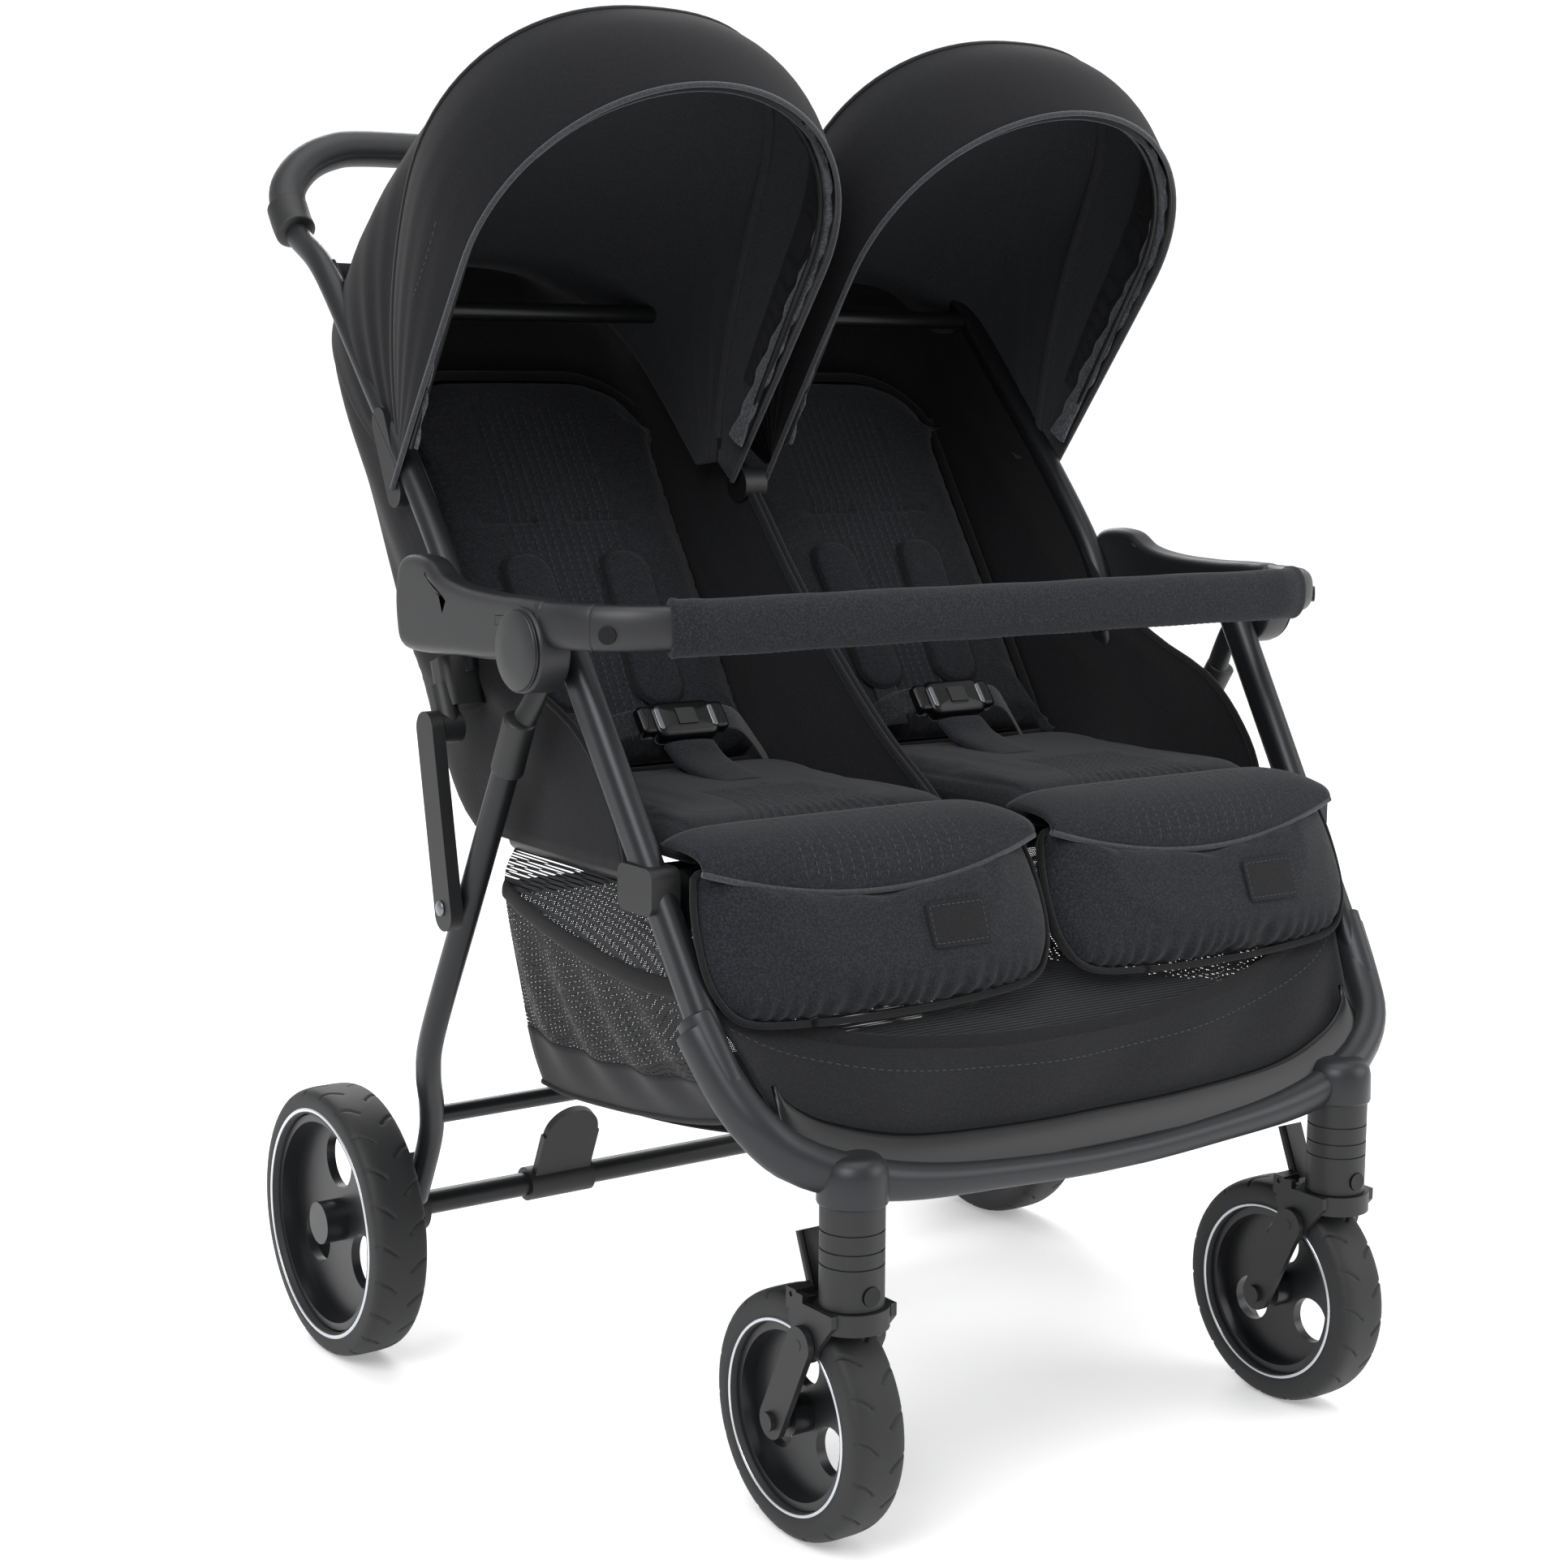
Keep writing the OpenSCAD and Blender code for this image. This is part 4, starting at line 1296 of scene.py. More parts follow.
def puff(made, voxel, cap, pressure=4.0, frames=20, steps=5):
    """Inflates a closed pad: an even remesh, then cloth under pressure with no gravity, no point
    going further than cap."""
    o = made
    m = o.modifiers.new("even", "REMESH")
    m.mode, m.voxel_size, m.use_smooth_shade = "VOXEL", voxel, True
    dg = bpy.context.evaluated_depsgraph_get()
    mesh = bpy.data.meshes.new_from_object(o.evaluated_get(dg))
    o.modifiers.clear()
    o.data = mesh
    rest = np.array([v.co for v in mesh.vertices], float)
    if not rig.quick():
        c = o.modifiers.new("fill", "CLOTH")
        c.settings.use_pressure = True
        c.settings.uniform_pressure_force = pressure
        c.settings.effector_weights.gravity = 0
        c.settings.quality = steps
        c.settings.mass = 0.2
        c.settings.tension_stiffness = c.settings.compression_stiffness = 22
        c.settings.bending_stiffness = 1.2
        c.point_cache.frame_start, c.point_cache.frame_end = 1, frames
        scene = bpy.context.scene
        for f in range(1, frames + 1):
            scene.frame_set(f)
        dg = bpy.context.evaluated_depsgraph_get()
        blown = bpy.data.meshes.new_from_object(o.evaluated_get(dg))
        o.modifiers.clear()
        co = np.array([v.co for v in blown.vertices], float)
        move = co - rest
        far = np.linalg.norm(move, axis=1)
        co = rest + move * (np.minimum(far, cap) / np.maximum(far, 1e-9))[:, None]
        blown.vertices.foreach_set("co", co.ravel())
        o.data = blown
        scene.frame_set(1)
    s = o.modifiers.new("fine", "SUBSURF")
    s.levels = s.render_levels = 1
    dg = bpy.context.evaluated_depsgraph_get()
    mesh = bpy.data.meshes.new_from_object(o.evaluated_get(dg))
    o.modifiers.clear()
    o.data = mesh
    mesh.polygons.foreach_set("use_smooth", [True] * len(mesh.polygons))
    return o


def coords(o):
    co = np.empty(len(o.data.vertices) * 3)
    o.data.vertices.foreach_get("co", co)
    return co.reshape(-1, 3)


def set_coords(o, co):
    o.data.vertices.foreach_set("co", np.asarray(co, float).ravel())
    o.data.update()


def normals(o):
    n = np.empty(len(o.data.vertices) * 3)
    o.data.vertices.foreach_get("normal", n)
    return n.reshape(-1, 3)


def groove(o, distance, width, depth, where=None):
    """Presses a channel in along a line: each point sinks against its normal by depth times a bell curve
    of its distance from the line."""
    k = np.exp(-((distance / width) ** 2))
    if where is not None:
        k = k * where
    set_coords(o, coords(o) - normals(o) * (depth * k)[:, None])


LEAN = math.radians(32.6)


def on_back(side):
    """Turns (across, up the backrest, out of its front face) into row points."""

    def place(p):
        u, v, w = p.T
        return np.stack(
            [
                side * SEAT_X + u,
                BACK_HINGE[0] + AHEAD + v * math.sin(LEAN) - w * math.cos(LEAN) ,
                BACK_HINGE[1] + v * math.cos(LEAN) + w * math.sin(LEAN),
            ],
            -1,
        )

    return place


def back_outline(w, length, r, low=0.006):
    """Upright pad outline: square foot, wide round top."""
    a = np.linspace(0, np.pi / 2, 22)
    right = np.stack([w / 2 - r + r * np.cos(a), length - r * 0.86 + r * 0.86 * np.sin(a)], -1)
    left = right[::-1] * [-1, 1]
    foot = np.array(
        [[-w / 2, low + 0.012], [-w / 2 + 0.012, low], [w / 2 - 0.012, low], [w / 2, low + 0.012]]
    )
    return curve_through(np.vstack([right, left, foot[:2], foot[2:]]), 150, closed=True)


def build_back(side, word):
    out = back_outline(0.268, 0.392, 0.080)
    pad = slab(f"backrest_pad_{word}", out, -0.019, 0.004, 0.010, on_back(side), MELANGE, steps=7, dome=0.003)
    puff(pad, 0.0055, 0.009)
    co = coords(pad)
    u = co[:, 0] - side * SEAT_X
    v = (co[:, 1] - AHEAD - BACK_HINGE[0]) * math.sin(LEAN) + (co[:, 2] - BACK_HINGE[1]) * math.cos(LEAN)
    front = normals(pad)[:, 1] < -0.3
    # thirteen close sewn ribs down the middle
    ribs = np.arange(-6, 7) * 0.0088
    near = np.abs(u[:, None] - ribs[None]).min(1)
    groove(pad, near, 0.0016, 0.0011, front * (np.abs(u) < 0.058) * (v > 0.02) * (v < 0.36))
    # bound edge: a shallow channel inside the rim
    rim = np.min(np.linalg.norm(np.stack([u, v], -1)[:, None] - inset(out, 0.012)[None, ::2], axis=2), axis=1)
    groove(pad, rim, 0.0022, 0.0014, front)
    # two welted slots for the harness
    for x0 in (-0.050, 0.036):
        d = np.hypot(np.maximum(np.abs(u - x0) - 0.024, 0), v - 0.236)
        groove(pad, d, 0.0028, 0.004, front)
    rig.slot(pad, "seat_fabric")
    return pad, ribs


def harness_pad(name, place, u0, v0, tilt, length, width, thick, material):
    ring = rounded_outline(width, length, width * 0.44, 14)
    c, s = math.cos(tilt), math.sin(tilt)
    ring = np.stack([u0 + ring[:, 0] * c - ring[:, 1] * s, v0 + ring[:, 0] * s + ring[:, 1] * c], -1)
    return slab(name, ring, 0.0, thick, thick * 0.44, place, material, steps=6, dome=0.0012), ring


for side, word, letter in SIDES:
    if side < 0:
        pad, ribs = build_back(side, word)
        first = pad
    else:
        pad = mirrored(first, f"backrest_pad_{word}")
    place = on_back(side)
    lines = [
        place(
            np.stack(
                [
                    np.full(40, x + 0.0044),
                    np.linspace(0.025, 0.352 - 0.25 * abs(x), 40),
                    np.full(40, 0.03),
                ],
                -1,
            )
        )
        for x in ribs[:-1]
    ]
    lines.append(place(np.c_[inset(back_outline(0.268, 0.392, 0.080), 0.0085)[8:110], np.full(102, 0.03)]))
    toward = (place(np.array([[0, 0, 0.0]])) - place(np.array([[0, 0, 1.0]])))[0]
    sewing = stitches(f"backrest_stitching_{word}", lines, pad, THREAD, toward, 0.0036, 0.0026, 0.0004)
    welts = []
    for x0 in (-0.050, 0.036):
        for dv in (-0.0034, 0.0034):
            w_line = place(
                np.stack(
                    [
                        np.linspace(x0 - 0.028, x0 + 0.028, 20),
                        np.full(20, 0.236 + dv),
                        np.full(20, 0.0115),
                    ],
                    -1,
                )
            )
            welts.append(
                sweep(
                    f"welt_{word}_{x0}_{dv}",
                    w_line,
                    0.0022,
                    0.0019,
                    PLAIN,
                    up=tuple(-toward),
                    around=12,
                )
            )
    welt = joined(f"backrest_welts_{word}", welts)
    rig.replaces(pad, f"backrest_{word}")
    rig.padded(pad, 0.6)
    edge_line = place(np.c_[inset(back_outline(0.268, 0.392, 0.080), 0.0005), np.full(150, -0.004)])
    edge_line = np.vstack([edge_line, edge_line[:1]])
    bound = sweep(
        f"backrest_binding_{word}",
        edge_line,
        0.0042,
        0.0034,
        BINDING,
        up=tuple(-toward),
        around=14,
        ends=False,
    )
    pads = []
    for k, (u0, tilt) in enumerate(((-0.047, 0.06), (0.043, -0.05))):
        o, ring = harness_pad(f"shoulder_{word}_{k}", place, u0, 0.128, tilt, 0.146, 0.045, 0.010, MELANGE)
        co = coords(o)
        set_coords(o, co - toward * 0.0125)
        ring3 = place(np.c_[ring, np.full(len(ring), 0.0175)])
        ring3 = np.vstack([ring3, ring3[:2]])
        pads.append(o)
        pads.append(
            sweep(
                f"shoulder_piping_{word}_{k}",
                ring3,
                0.0017,
                0.0017,
                BINDING,
                up=tuple(-toward),
                around=12,
                ends=False,
            )
        )
        web = place(
            np.stack(
                [
                    np.linspace(u0 * 1.05, u0 * 0.9, 20),
                    np.linspace(0.196, 0.02, 20),
                    0.0135 + 0.006 * np.sin(np.linspace(0, np.pi, 20)),
                ],
                -1,
            )
        )
        pads.append(
            sweep(
                f"shoulder_web_{word}_{k}",
                web,
                0.0125,
                0.0008,
                STRAP,
                up=tuple(-toward),
                around=16,
                power=4,
            )
        )
    shoulder = joined(f"shoulder_pad_set_{word}", pads)
    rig.replaces(shoulder, f"shoulder_pads_{word}")
    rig.slot(shoulder, "trim_fabric")
    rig.padded(shoulder, 0.5)
    for o in (pad, sewing, welt, bound, shoulder):
        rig.ride(o, f"back_{letter}")
        if o in (pad, shoulder):
            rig.squash(o, "fold", axis=(0, 1, 0), anchor=at(0, -0.30, 0.6), keep=0.25)

# seat pads, with the cloth of the front edge rolled over the frame tube
seat_low, seat_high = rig.box("seat_pads")
SEAT_TOP = seat_high.z
SEAT_FRONT, SEAT_REAR = seat_low.y, seat_high.y


def flat_place(z0):
    def place(p):
        return np.stack([p[:, 0], p[:, 1], z0 + p[:, 2]], -1)

    return place


for side, word, letter in SIDES:
    if side < 0:
        cx, cy = side * SEAT_X, (SEAT_FRONT + SEAT_REAR) / 2
        out = rounded_outline(0.272, SEAT_REAR - SEAT_FRONT - 0.006, 0.022, 14) + [cx, cy]
        pad = slab(
            "seat_cushion_right",
            out,
            0.0015,
            seat_high.z - seat_low.z - 0.005,
            0.009,
            flat_place(seat_low.z),
            MELANGE,
            steps=7,
            dome=0.003,
        )
        puff(pad, 0.0055, 0.007)
        co = coords(pad)
        drop = np.clip((SEAT_FRONT + 0.05 - co[:, 1]) / 0.05, 0, 1)
        co[:, 2] -= 0.007 * drop**2
        set_coords(pad, co)
        up = normals(pad)[:, 2] > 0.3
        u, v = co[:, 0] - cx, co[:, 1] - SEAT_FRONT
        # fan of sewn arcs that spread from the crotch strap to the front edge
        g = np.full(len(co), 9.0)
        for k in range(-7, 8):
            at_strap, at_edge = 0.0065 * k, 0.011 * k
            line = at_strap + (at_edge - at_strap) * np.clip(1 - v / 0.11, 0, 1) ** 2
            g = np.minimum(g, np.abs(u - line))
        groove(pad, g, 0.0015, 0.0010, up * (v < 0.12))
        rim = np.maximum(
            np.abs(u) - 0.118,
            np.abs(v - (SEAT_REAR - SEAT_FRONT) / 2) - (SEAT_REAR - SEAT_FRONT) / 2 + 0.016,
        )
        groove(pad, np.abs(rim), 0.002, 0.0013, up)
        first = pad
    else:
        pad = mirrored(first, "seat_cushion_left")
        cx = side * SEAT_X
    lines = []
    for k in range(-6, 8):
        vv = np.linspace(0.006, 0.118, 40)
        a0, a1 = 0.0065 * (k - 0.5), 0.011 * (k - 0.5)
        uu = a0 + (a1 - a0) * np.clip(1 - vv / 0.11, 0, 1) ** 2
        lines.append(np.stack([cx + uu, SEAT_FRONT + vv, np.full(40, SEAT_TOP + 0.02)], -1))
    sew = stitches(f"seat_stitching_{word}", lines, pad, THREAD, (0, 0, -1), 0.0036, 0.0026, 0.0004)
    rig.slot(pad, "seat_fabric")
    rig.padded(pad, 0.6)
    if side < 0:
        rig.replaces(pad, "seat_pads")
    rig.ride(pad, "front_frame")
    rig.ride(sew, "front_frame")

# calf rests: round-cornered pads with piping all round and an elastic lower edge
CALF = (-0.452, 0.478)
CALF_LEAN = math.radians(22)


def on_calf(side):
    def place(p):
        u, v, w = p.T
        return np.stack(
            [
                side * SEAT_X + u,
                CALF[0] + AHEAD - v * math.sin(CALF_LEAN) - w * math.cos(CALF_LEAN),
                CALF[1] - v * math.cos(CALF_LEAN) + w * math.sin(CALF_LEAN),
            ],
            -1,
        )

    return place


def calf_outline():
    """Wide pad: corners of large radius, a top edge that dips in the middle, a lower edge that bows down."""
    half = [
        (0.0, 0.014),
        (0.075, 0.010),
        (0.138, 0.002),
        (0.151, 0.018),
        (0.155, 0.060),
        (0.149, 0.092),
        (0.128, 0.113),
        (0.072, 0.120),
        (0.0, 0.122),
    ]
    p = [(-u, v) for u, v in half[:0:-1]][1:] + half
    return curve_through(np.array(p), 150, closed=True)


for side, word, letter in SIDES:
    place = on_calf(side)
    out = calf_outline()
    if side < 0:
        pad = slab(f"calf_pad_{word}", out, 0.0, 0.033, 0.014, place, MELANGE, steps=7, dome=0.004)
        puff(pad, 0.0055, 0.010)
        co = coords(pad)
        u = co[:, 0] - side * SEAT_X
        v = -(co[:, 1] - AHEAD - CALF[0]) * math.sin(CALF_LEAN) - (co[:, 2] - CALF[1]) * math.cos(CALF_LEAN)
        gather = np.exp(-(((v - 0.112) / 0.012) ** 2))
        set_coords(pad, co + normals(pad) * (0.0012 * gather * np.sin(u * 420 + 2 * np.sin(u * 60)))[:, None])
        first = pad
    else:
        pad = mirrored(first, f"calf_pad_{word}")
    toward = (place(np.array([[0, 0, 0.0]])) - place(np.array([[0, 0, 1.0]])))[0]
    ring = place(np.c_[inset(out, 0.0004), np.full(len(out), 0.0215)])
    ring = np.vstack([ring, ring[:2]])
    pipe = sweep(
        f"calf_piping_{word}", ring, 0.0026, 0.0026, BINDING, up=tuple(-toward), around=14, ends=False
    )
    plate = rounded_outline(0.055, 0.034, 0.004, 8) + [0.0525, 0.066]
    patch = slab(f"calf_patch_{word}", plate, 0.0, 0.0016, 0.0006, place, BINDING, steps=4)
    co = coords(patch)
    dg = bpy.context.evaluated_depsgraph_get()
    tree = BVHTree.FromObject(pad, dg)
    moved = []
    for q in co:
        hit = tree.ray_cast(Vector(q) - Vector(toward) * 0.06, Vector(toward), 0.2)
        w = float(np.dot(q - place(np.array([[0, 0, 0.0]]))[0], -toward))
        moved.append(tuple(hit[0] - Vector(toward) * (w * 0.8 + 0.0012)) if hit[0] is not None else tuple(q))
    set_coords(patch, np.array(moved))
    edge = np.vstack([inset(plate, 0.003), inset(plate, 0.003)[:1]])
    patch_sew = stitches(
        f"calf_patch_stitching_{word}",
        [place(np.c_[edge, np.full(len(edge), 0.05)])],
        patch,
        THREAD,
        toward,
        0.0028,
        0.0018,
        0.00035,
    )
    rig.replaces(pad, f"calf_rest_{word}")
    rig.slot(pad, "seat_fabric")
    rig.padded(pad, 0.6)
    for o in (pad, pipe, patch, patch_sew):
        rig.ride(o, f"calf_{letter}")

# ---- seat shells: the cloth behind and beside each seat, and the ridge between the seats ----


def spline(z, knots):
    """Value at z of a smooth line through (z, value) knots."""
    k = curve_through(np.array(knots, float), 80)
    return np.interp(z, k[:, 0], k[:, 1])


ROWS = np.linspace(0.474, 0.921, 46)
REAR_Y = [
    (0.47, -0.150),
    (0.50, -0.112),
    (0.60, -0.045),
    (0.70, 0.018),
    (0.80, 0.074),
    (0.86, 0.098),
    (0.925, 0.104),
]
OUTER_Y = [
    (0.47, -0.405),
    (0.52, -0.385),
    (0.57, -0.335),
    (0.60, -0.262),
    (0.64, -0.190),
    (0.70, -0.142),
    (0.745, -0.108),
    (0.82, -0.038),
    (0.90, 0.036),
    (0.925, 0.060),
]
INNER_Y = [
    (0.47, -0.385),
    (0.50, -0.345),
    (0.54, -0.285),
    (0.60, -0.215),
    (0.66, -0.155),
    (0.72, -0.102),
    (0.78, -0.050),
    (0.86, 0.02),
    (0.925, 0.075),
]
for side, word, letter in SIDES:
    grid = []
    for z in ROWS:
        yb, yo, yi = (float(spline(z, k)) for k in (REAR_Y, OUTER_Y, INNER_Y))
        outer_x, inner_x = 0.316 + 0.006 * min(max((z - 0.5) / 0.2, 0), 1), 0.022
        corner = 0.30 if z < 0.86 else 0.30 - (z - 0.86) * 0.5
        row = curve_through(
            [
                (side * outer_x, yo + AHEAD, z),
                (side * (outer_x + 0.003), (yo * 0.6 + yb * 0.4) + AHEAD, z),
                (side * (corner + 0.010), yb - 0.018 + AHEAD, z),
                (side * (corner - 0.035), yb + AHEAD, z),
                (side * 0.16, yb + 0.004 + AHEAD, z + (0.004 if z > 0.9 else 0)),
                (side * 0.075, yb + AHEAD, z),
                (side * 0.040, yb - 0.022 + AHEAD, z),
                (side * inner_x, yi * 0.5 + yb * 0.5 + AHEAD, z),
                (side * 0.003, yi + AHEAD, z),
            ],
            96,
        )
        grid.append(row)
    grid = np.array(grid)
    k = np.linspace(0, 1, 96)[None, :]
    v = np.linspace(0, 1, 46)[:, None]
    folds = (
        0.0035 * np.sin(14 * k * np.pi + 5 * v) * np.exp(-(((k - 0.83) / 0.1) ** 2))
        + 0.003 * np.sin(11 * k * np.pi - 7 * v) * np.exp(-(((k - 0.2) / 0.13) ** 2))
    )
    grid[..., 0] += side * folds * np.sin(np.pi * v)
    shell = mesh_object(f"seat_shell_{word}", grid.reshape(-1, 3), grid_faces(46, 96), PLAIN)
    solid = shell.modifiers.new("thickness", "SOLIDIFY")
    solid.thickness, solid.offset = 0.0016, 0
    edge = sweep(
        f"seat_shell_edge_{word}",
        grid[:, 0],
        0.0028,
        0.0028,
        BINDING,
        up=(0, 1, 0),
        around=14,
    )
    inner_edge = sweep(
        f"seat_shell_ridge_{word}",
        grid[1:-8, -1],
        0.0034,
        0.0034,
        BINDING,
        up=(0, 1, 0),
        around=14,
    )
    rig.sheet(
        shell,
        held="stretched",
        rests_on=["handle_tubes", "seat_frame"],
        with_pieces=[edge, inner_edge],
        **cut_from(grid),
    )
    for o in (shell, edge, inner_edge):
        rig.ride(o, "front_frame")
        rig.squash(o, "fold", axis=(0, 1, 0), anchor=at(0, -0.30, 0.6), keep=0.25)

# ---- basket ----


def between(a, b, rows, bulge=(0, 0, 0), wave=0.0):
    """Rows of points from curve a to curve b, standing out by bulge in the middle."""
    t = np.linspace(0, 1, rows)[:, None, None]
    p = a[None] * (1 - t) + b[None] * t
    p = p + np.sin(np.pi * t) * np.asarray(bulge, float)
    if wave:
        k = np.linspace(0, 1, a.shape[0])[None, :, None]
        p = p + wave * np.sin(np.pi * t) * np.sin(9 * np.pi * k + 4 * t) * np.asarray(bulge, float)
    return p


def skin(name, points, material, held, rests_on, thickness=0.0014):
    """A sheet of cloth over a grid of points, declared with the flat cut that the grid measures."""
    made = mesh_object(name, points.reshape(-1, 3), grid_faces(points.shape[0], points.shape[1]), material)
    if thickness:
        m = made.modifiers.new("thickness", "SOLIDIFY")
        m.thickness, m.offset = thickness, 0
    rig.sheet(made, held=held, rests_on=rests_on, **cut_from(points))
    return made


front_hem = curve_through(
    [
        at(-0.311, -0.488, 0.402),
        at(-0.25, -0.507, 0.371),
        at(-0.15, -0.523, 0.349),
        at(0, -0.530, 0.340),
        at(0.15, -0.523, 0.349),
        at(0.25, -0.507, 0.371),
        at(0.311, -0.488, 0.402),
    ],
    90,
)
front_foot = curve_through(
    [
        at(-0.283, -0.538, 0.326),
        at(-0.258, -0.548, 0.304),
        at(-0.20, -0.557, 0.291),
        at(-0.10, -0.562, 0.283),
        at(0, -0.564, 0.279),
        at(0.10, -0.562, 0.283),
        at(0.20, -0.557, 0.291),
        at(0.258, -0.548, 0.304),
        at(0.283, -0.538, 0.326),
    ],
    90,
)
front_panel = skin(
    "basket_front_cloth",
    between(front_hem, front_foot, 24, (0, -0.004, 0.0), 0.6),
    BASKET_CLOTH,
    "hung",
    ["front_legs"],
)
hem = sweep("basket_front_hem", front_hem, 0.0022, 0.0075, BINDING, up=(0, 0.25, 1), around=20)
hem_sew = stitches(
    "basket_hem_stitching",
    [front_hem[2:-2] + [0, -0.04, -0.016]],
    front_panel,
    THREAD,
    (0, 1, 0),
    0.004,
    0.0028,
    0.00045,
)
under = curve_through(
    [
        at(-0.262, -0.537, 0.301),
        at(-0.1, -0.551, 0.288),
        at(0.1, -0.551, 0.288),
        at(0.262, -0.537, 0.301),
    ],
    60,
)
rear_low = curve_through(
    [
        at(-0.226, -0.118, 0.243),
        at(-0.1, -0.116, 0.240),
        at(0.1, -0.116, 0.240),
        at(0.226, -0.118, 0.243),
    ],
    60,
)
floor_sheet = skin(
    "basket_floor_cloth",
    between(under, rear_low, 30, (0, 0, -0.010)),
    BASKET_CLOTH,
    "stretched",
    ["front_casting"],
)
rear_hem = curve_through(
    [
        at(-0.318, -0.222, 0.434),
        at(-0.15, -0.214, 0.432),
        at(0.15, -0.214, 0.432),
        at(0.318, -0.222, 0.434),
    ],
    60,
)
rear_net = skin(
    "basket_rear_net",
    between(rear_hem, rear_low, 20, (0, 0.006, 0)),
    NET,
    "stretched",
    ["rear_legs"],
    0,
)
basket_parts = [
    front_panel,
    hem,
    hem_sew,
    floor_sheet,
    rear_net,
    sweep("basket_rear_hem", rear_hem, 0.002, 0.006, BINDING, up=(0, 0, 1), around=16),
]
for side, word, letter in SIDES:
    side_hem = curve_through(
        [
            at(side * 0.311, -0.488, 0.402),
            at(side * 0.318, -0.42, 0.400),
            at(side * 0.322, -0.33, 0.411),
            at(side * 0.321, -0.26, 0.424),
            at(side * 0.318, -0.222, 0.434),
        ],
        60,
    )
    side_low = curve_through(
        [
            at(side * 0.276, -0.534, 0.322),
            at(side * 0.262, -0.43, 0.288),
            at(side * 0.245, -0.30, 0.262),
            at(side * 0.230, -0.17, 0.244),
            at(side * 0.226, -0.118, 0.243),
        ],
        60,
    )
    whole = between(side_hem, side_low, 26, (side * 0.006, 0, -0.002), 0.5)
    basket_parts.append(skin(f"basket_side_net_{word}", whole[:18], NET, "stretched", ["front_legs"], 0))
    basket_parts.append(
        skin(f"basket_side_band_{word}", whole[17:], BASKET_CLOTH, "stretched", ["front_legs"])
    )
    basket_parts.append(
        sweep(f"basket_side_hem_{word}", side_hem, 0.0022, 0.0075, BINDING, up=(0, 0, 1), around=16)
    )
    basket_parts.append(
        sweep(f"basket_low_seam_{word}", side_low, 0.003, 0.003, BINDING, up=(0, 0, 1), around=12)
    )
    tube_line = curve_through(
        [
            at(side * 0.300, -0.432, 0.466),
            at(side * 0.302, -0.33, 0.466),
            at(side * 0.302, -0.214, 0.466),
        ],
        60,
    )
    basket_parts.append(
        skin(
            f"basket_upper_net_{word}",
            between(
                tube_line, side_hem[3:][np.linspace(0, 56, 60).astype(int)], 12, (side * 0.004, 0, 0)
            ),
            OPEN_NET,
            "stretched",
            ["seat_frame"],
            0,
        )
    )
top_line = curve_through(
    [
        at(-0.296, -0.436, 0.462),
        at(-0.1, -0.440, 0.458),
        at(0.1, -0.440, 0.458),
        at(0.296, -0.436, 0.462),
    ],
    90,
)
basket_parts.append(
    skin(
        "basket_front_net",
        between(top_line, front_hem, 14, (0, 0.008, 0)),
        OPEN_NET,
        "hung",
        ["seat_frame"],
        0,
    )
)
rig.replaces(front_panel, "basket")
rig.slot(front_panel, "basket_fabric")
for o in basket_parts:
    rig.ride(o, "front_frame")

# ---- harness: buckle, crotch strap and its sleeve ----

BUCKLE = (0.140, -0.198, 0.549)
BUCKLE_LEAN = math.radians(38)


def on_buckle(side):
    """Turns (across, up, out of the front) into row points about the buckle's middle."""

    def place(p):
        u, v, w = p.T
        return np.stack(
            [
                side * BUCKLE[0] + u,
                BUCKLE[1] + AHEAD + v * math.sin(BUCKLE_LEAN) - w * math.cos(BUCKLE_LEAN),
                BUCKLE[2] + v * math.cos(BUCKLE_LEAN) + w * math.sin(BUCKLE_LEAN),
            ],
            -1,
        )

    return place


for side, word, letter in SIDES:
    place = on_buckle(side)
    shell_ring = rounded_outline(0.060, 0.034, 0.009, 10)
    shell = slab(
        f"buckle_shell_{word}", shell_ring, -0.0085, 0.0085, 0.005, place, GLOSS, steps=6, dome=0.0015
    )
    rim = slab(
        f"buckle_rim_{word}",
        rounded_outline(0.022, 0.018, 0.004, 8),
        0.0082,
        0.0094,
        0.0005,
        place,
        PLASTIC,
        steps=3,
    )
    prongs = []
    for s in (-1, 1):
        prongs.append(
            slab(
                f"buckle_prong_{word}_{s}",
                rounded_outline(0.016, 0.026, 0.005, 8) + [s * 0.0335, 0.002],
                -0.0065,
                0.0065,
                0.0035,
                place,
                GLOSS,
                steps=5,
            )
        )
        prongs.append(
            slab(
                f"buckle_pad_{word}_{s}",
                rounded_outline(0.005, 0.020, 0.0022, 6) + [s * 0.0255, 0.0],
                0.0082,
                0.0096,
                0.0006,
                place,
                STEEL,
                steps=3,
            )
        )
        belt = curve_through(
            place(
                np.array(
                    [
                        [s * 0.036, 0.004, 0.0],
                        [s * 0.062, 0.002, -0.010],
                        [s * 0.095, -0.012, -0.040],
                        [s * 0.122, -0.030, -0.066],
                    ]
                )
            ),
            30,
        )
        prongs.append(
            sweep(
                f"waist_belt_{word}_{s}",
                belt,
                0.0008,
                0.0115,
                STRAP,
                up=(0, 0.6, 0.8),
                around=16,
                power=4,
            )
        )
    block = joined(f"buckle_body_{word}", [shell, rim] + prongs)
    if side < 0:
        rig.replaces(block, "buckles")
    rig.slot(block, "gloss_plastic")
    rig.ride(block, "front_frame")

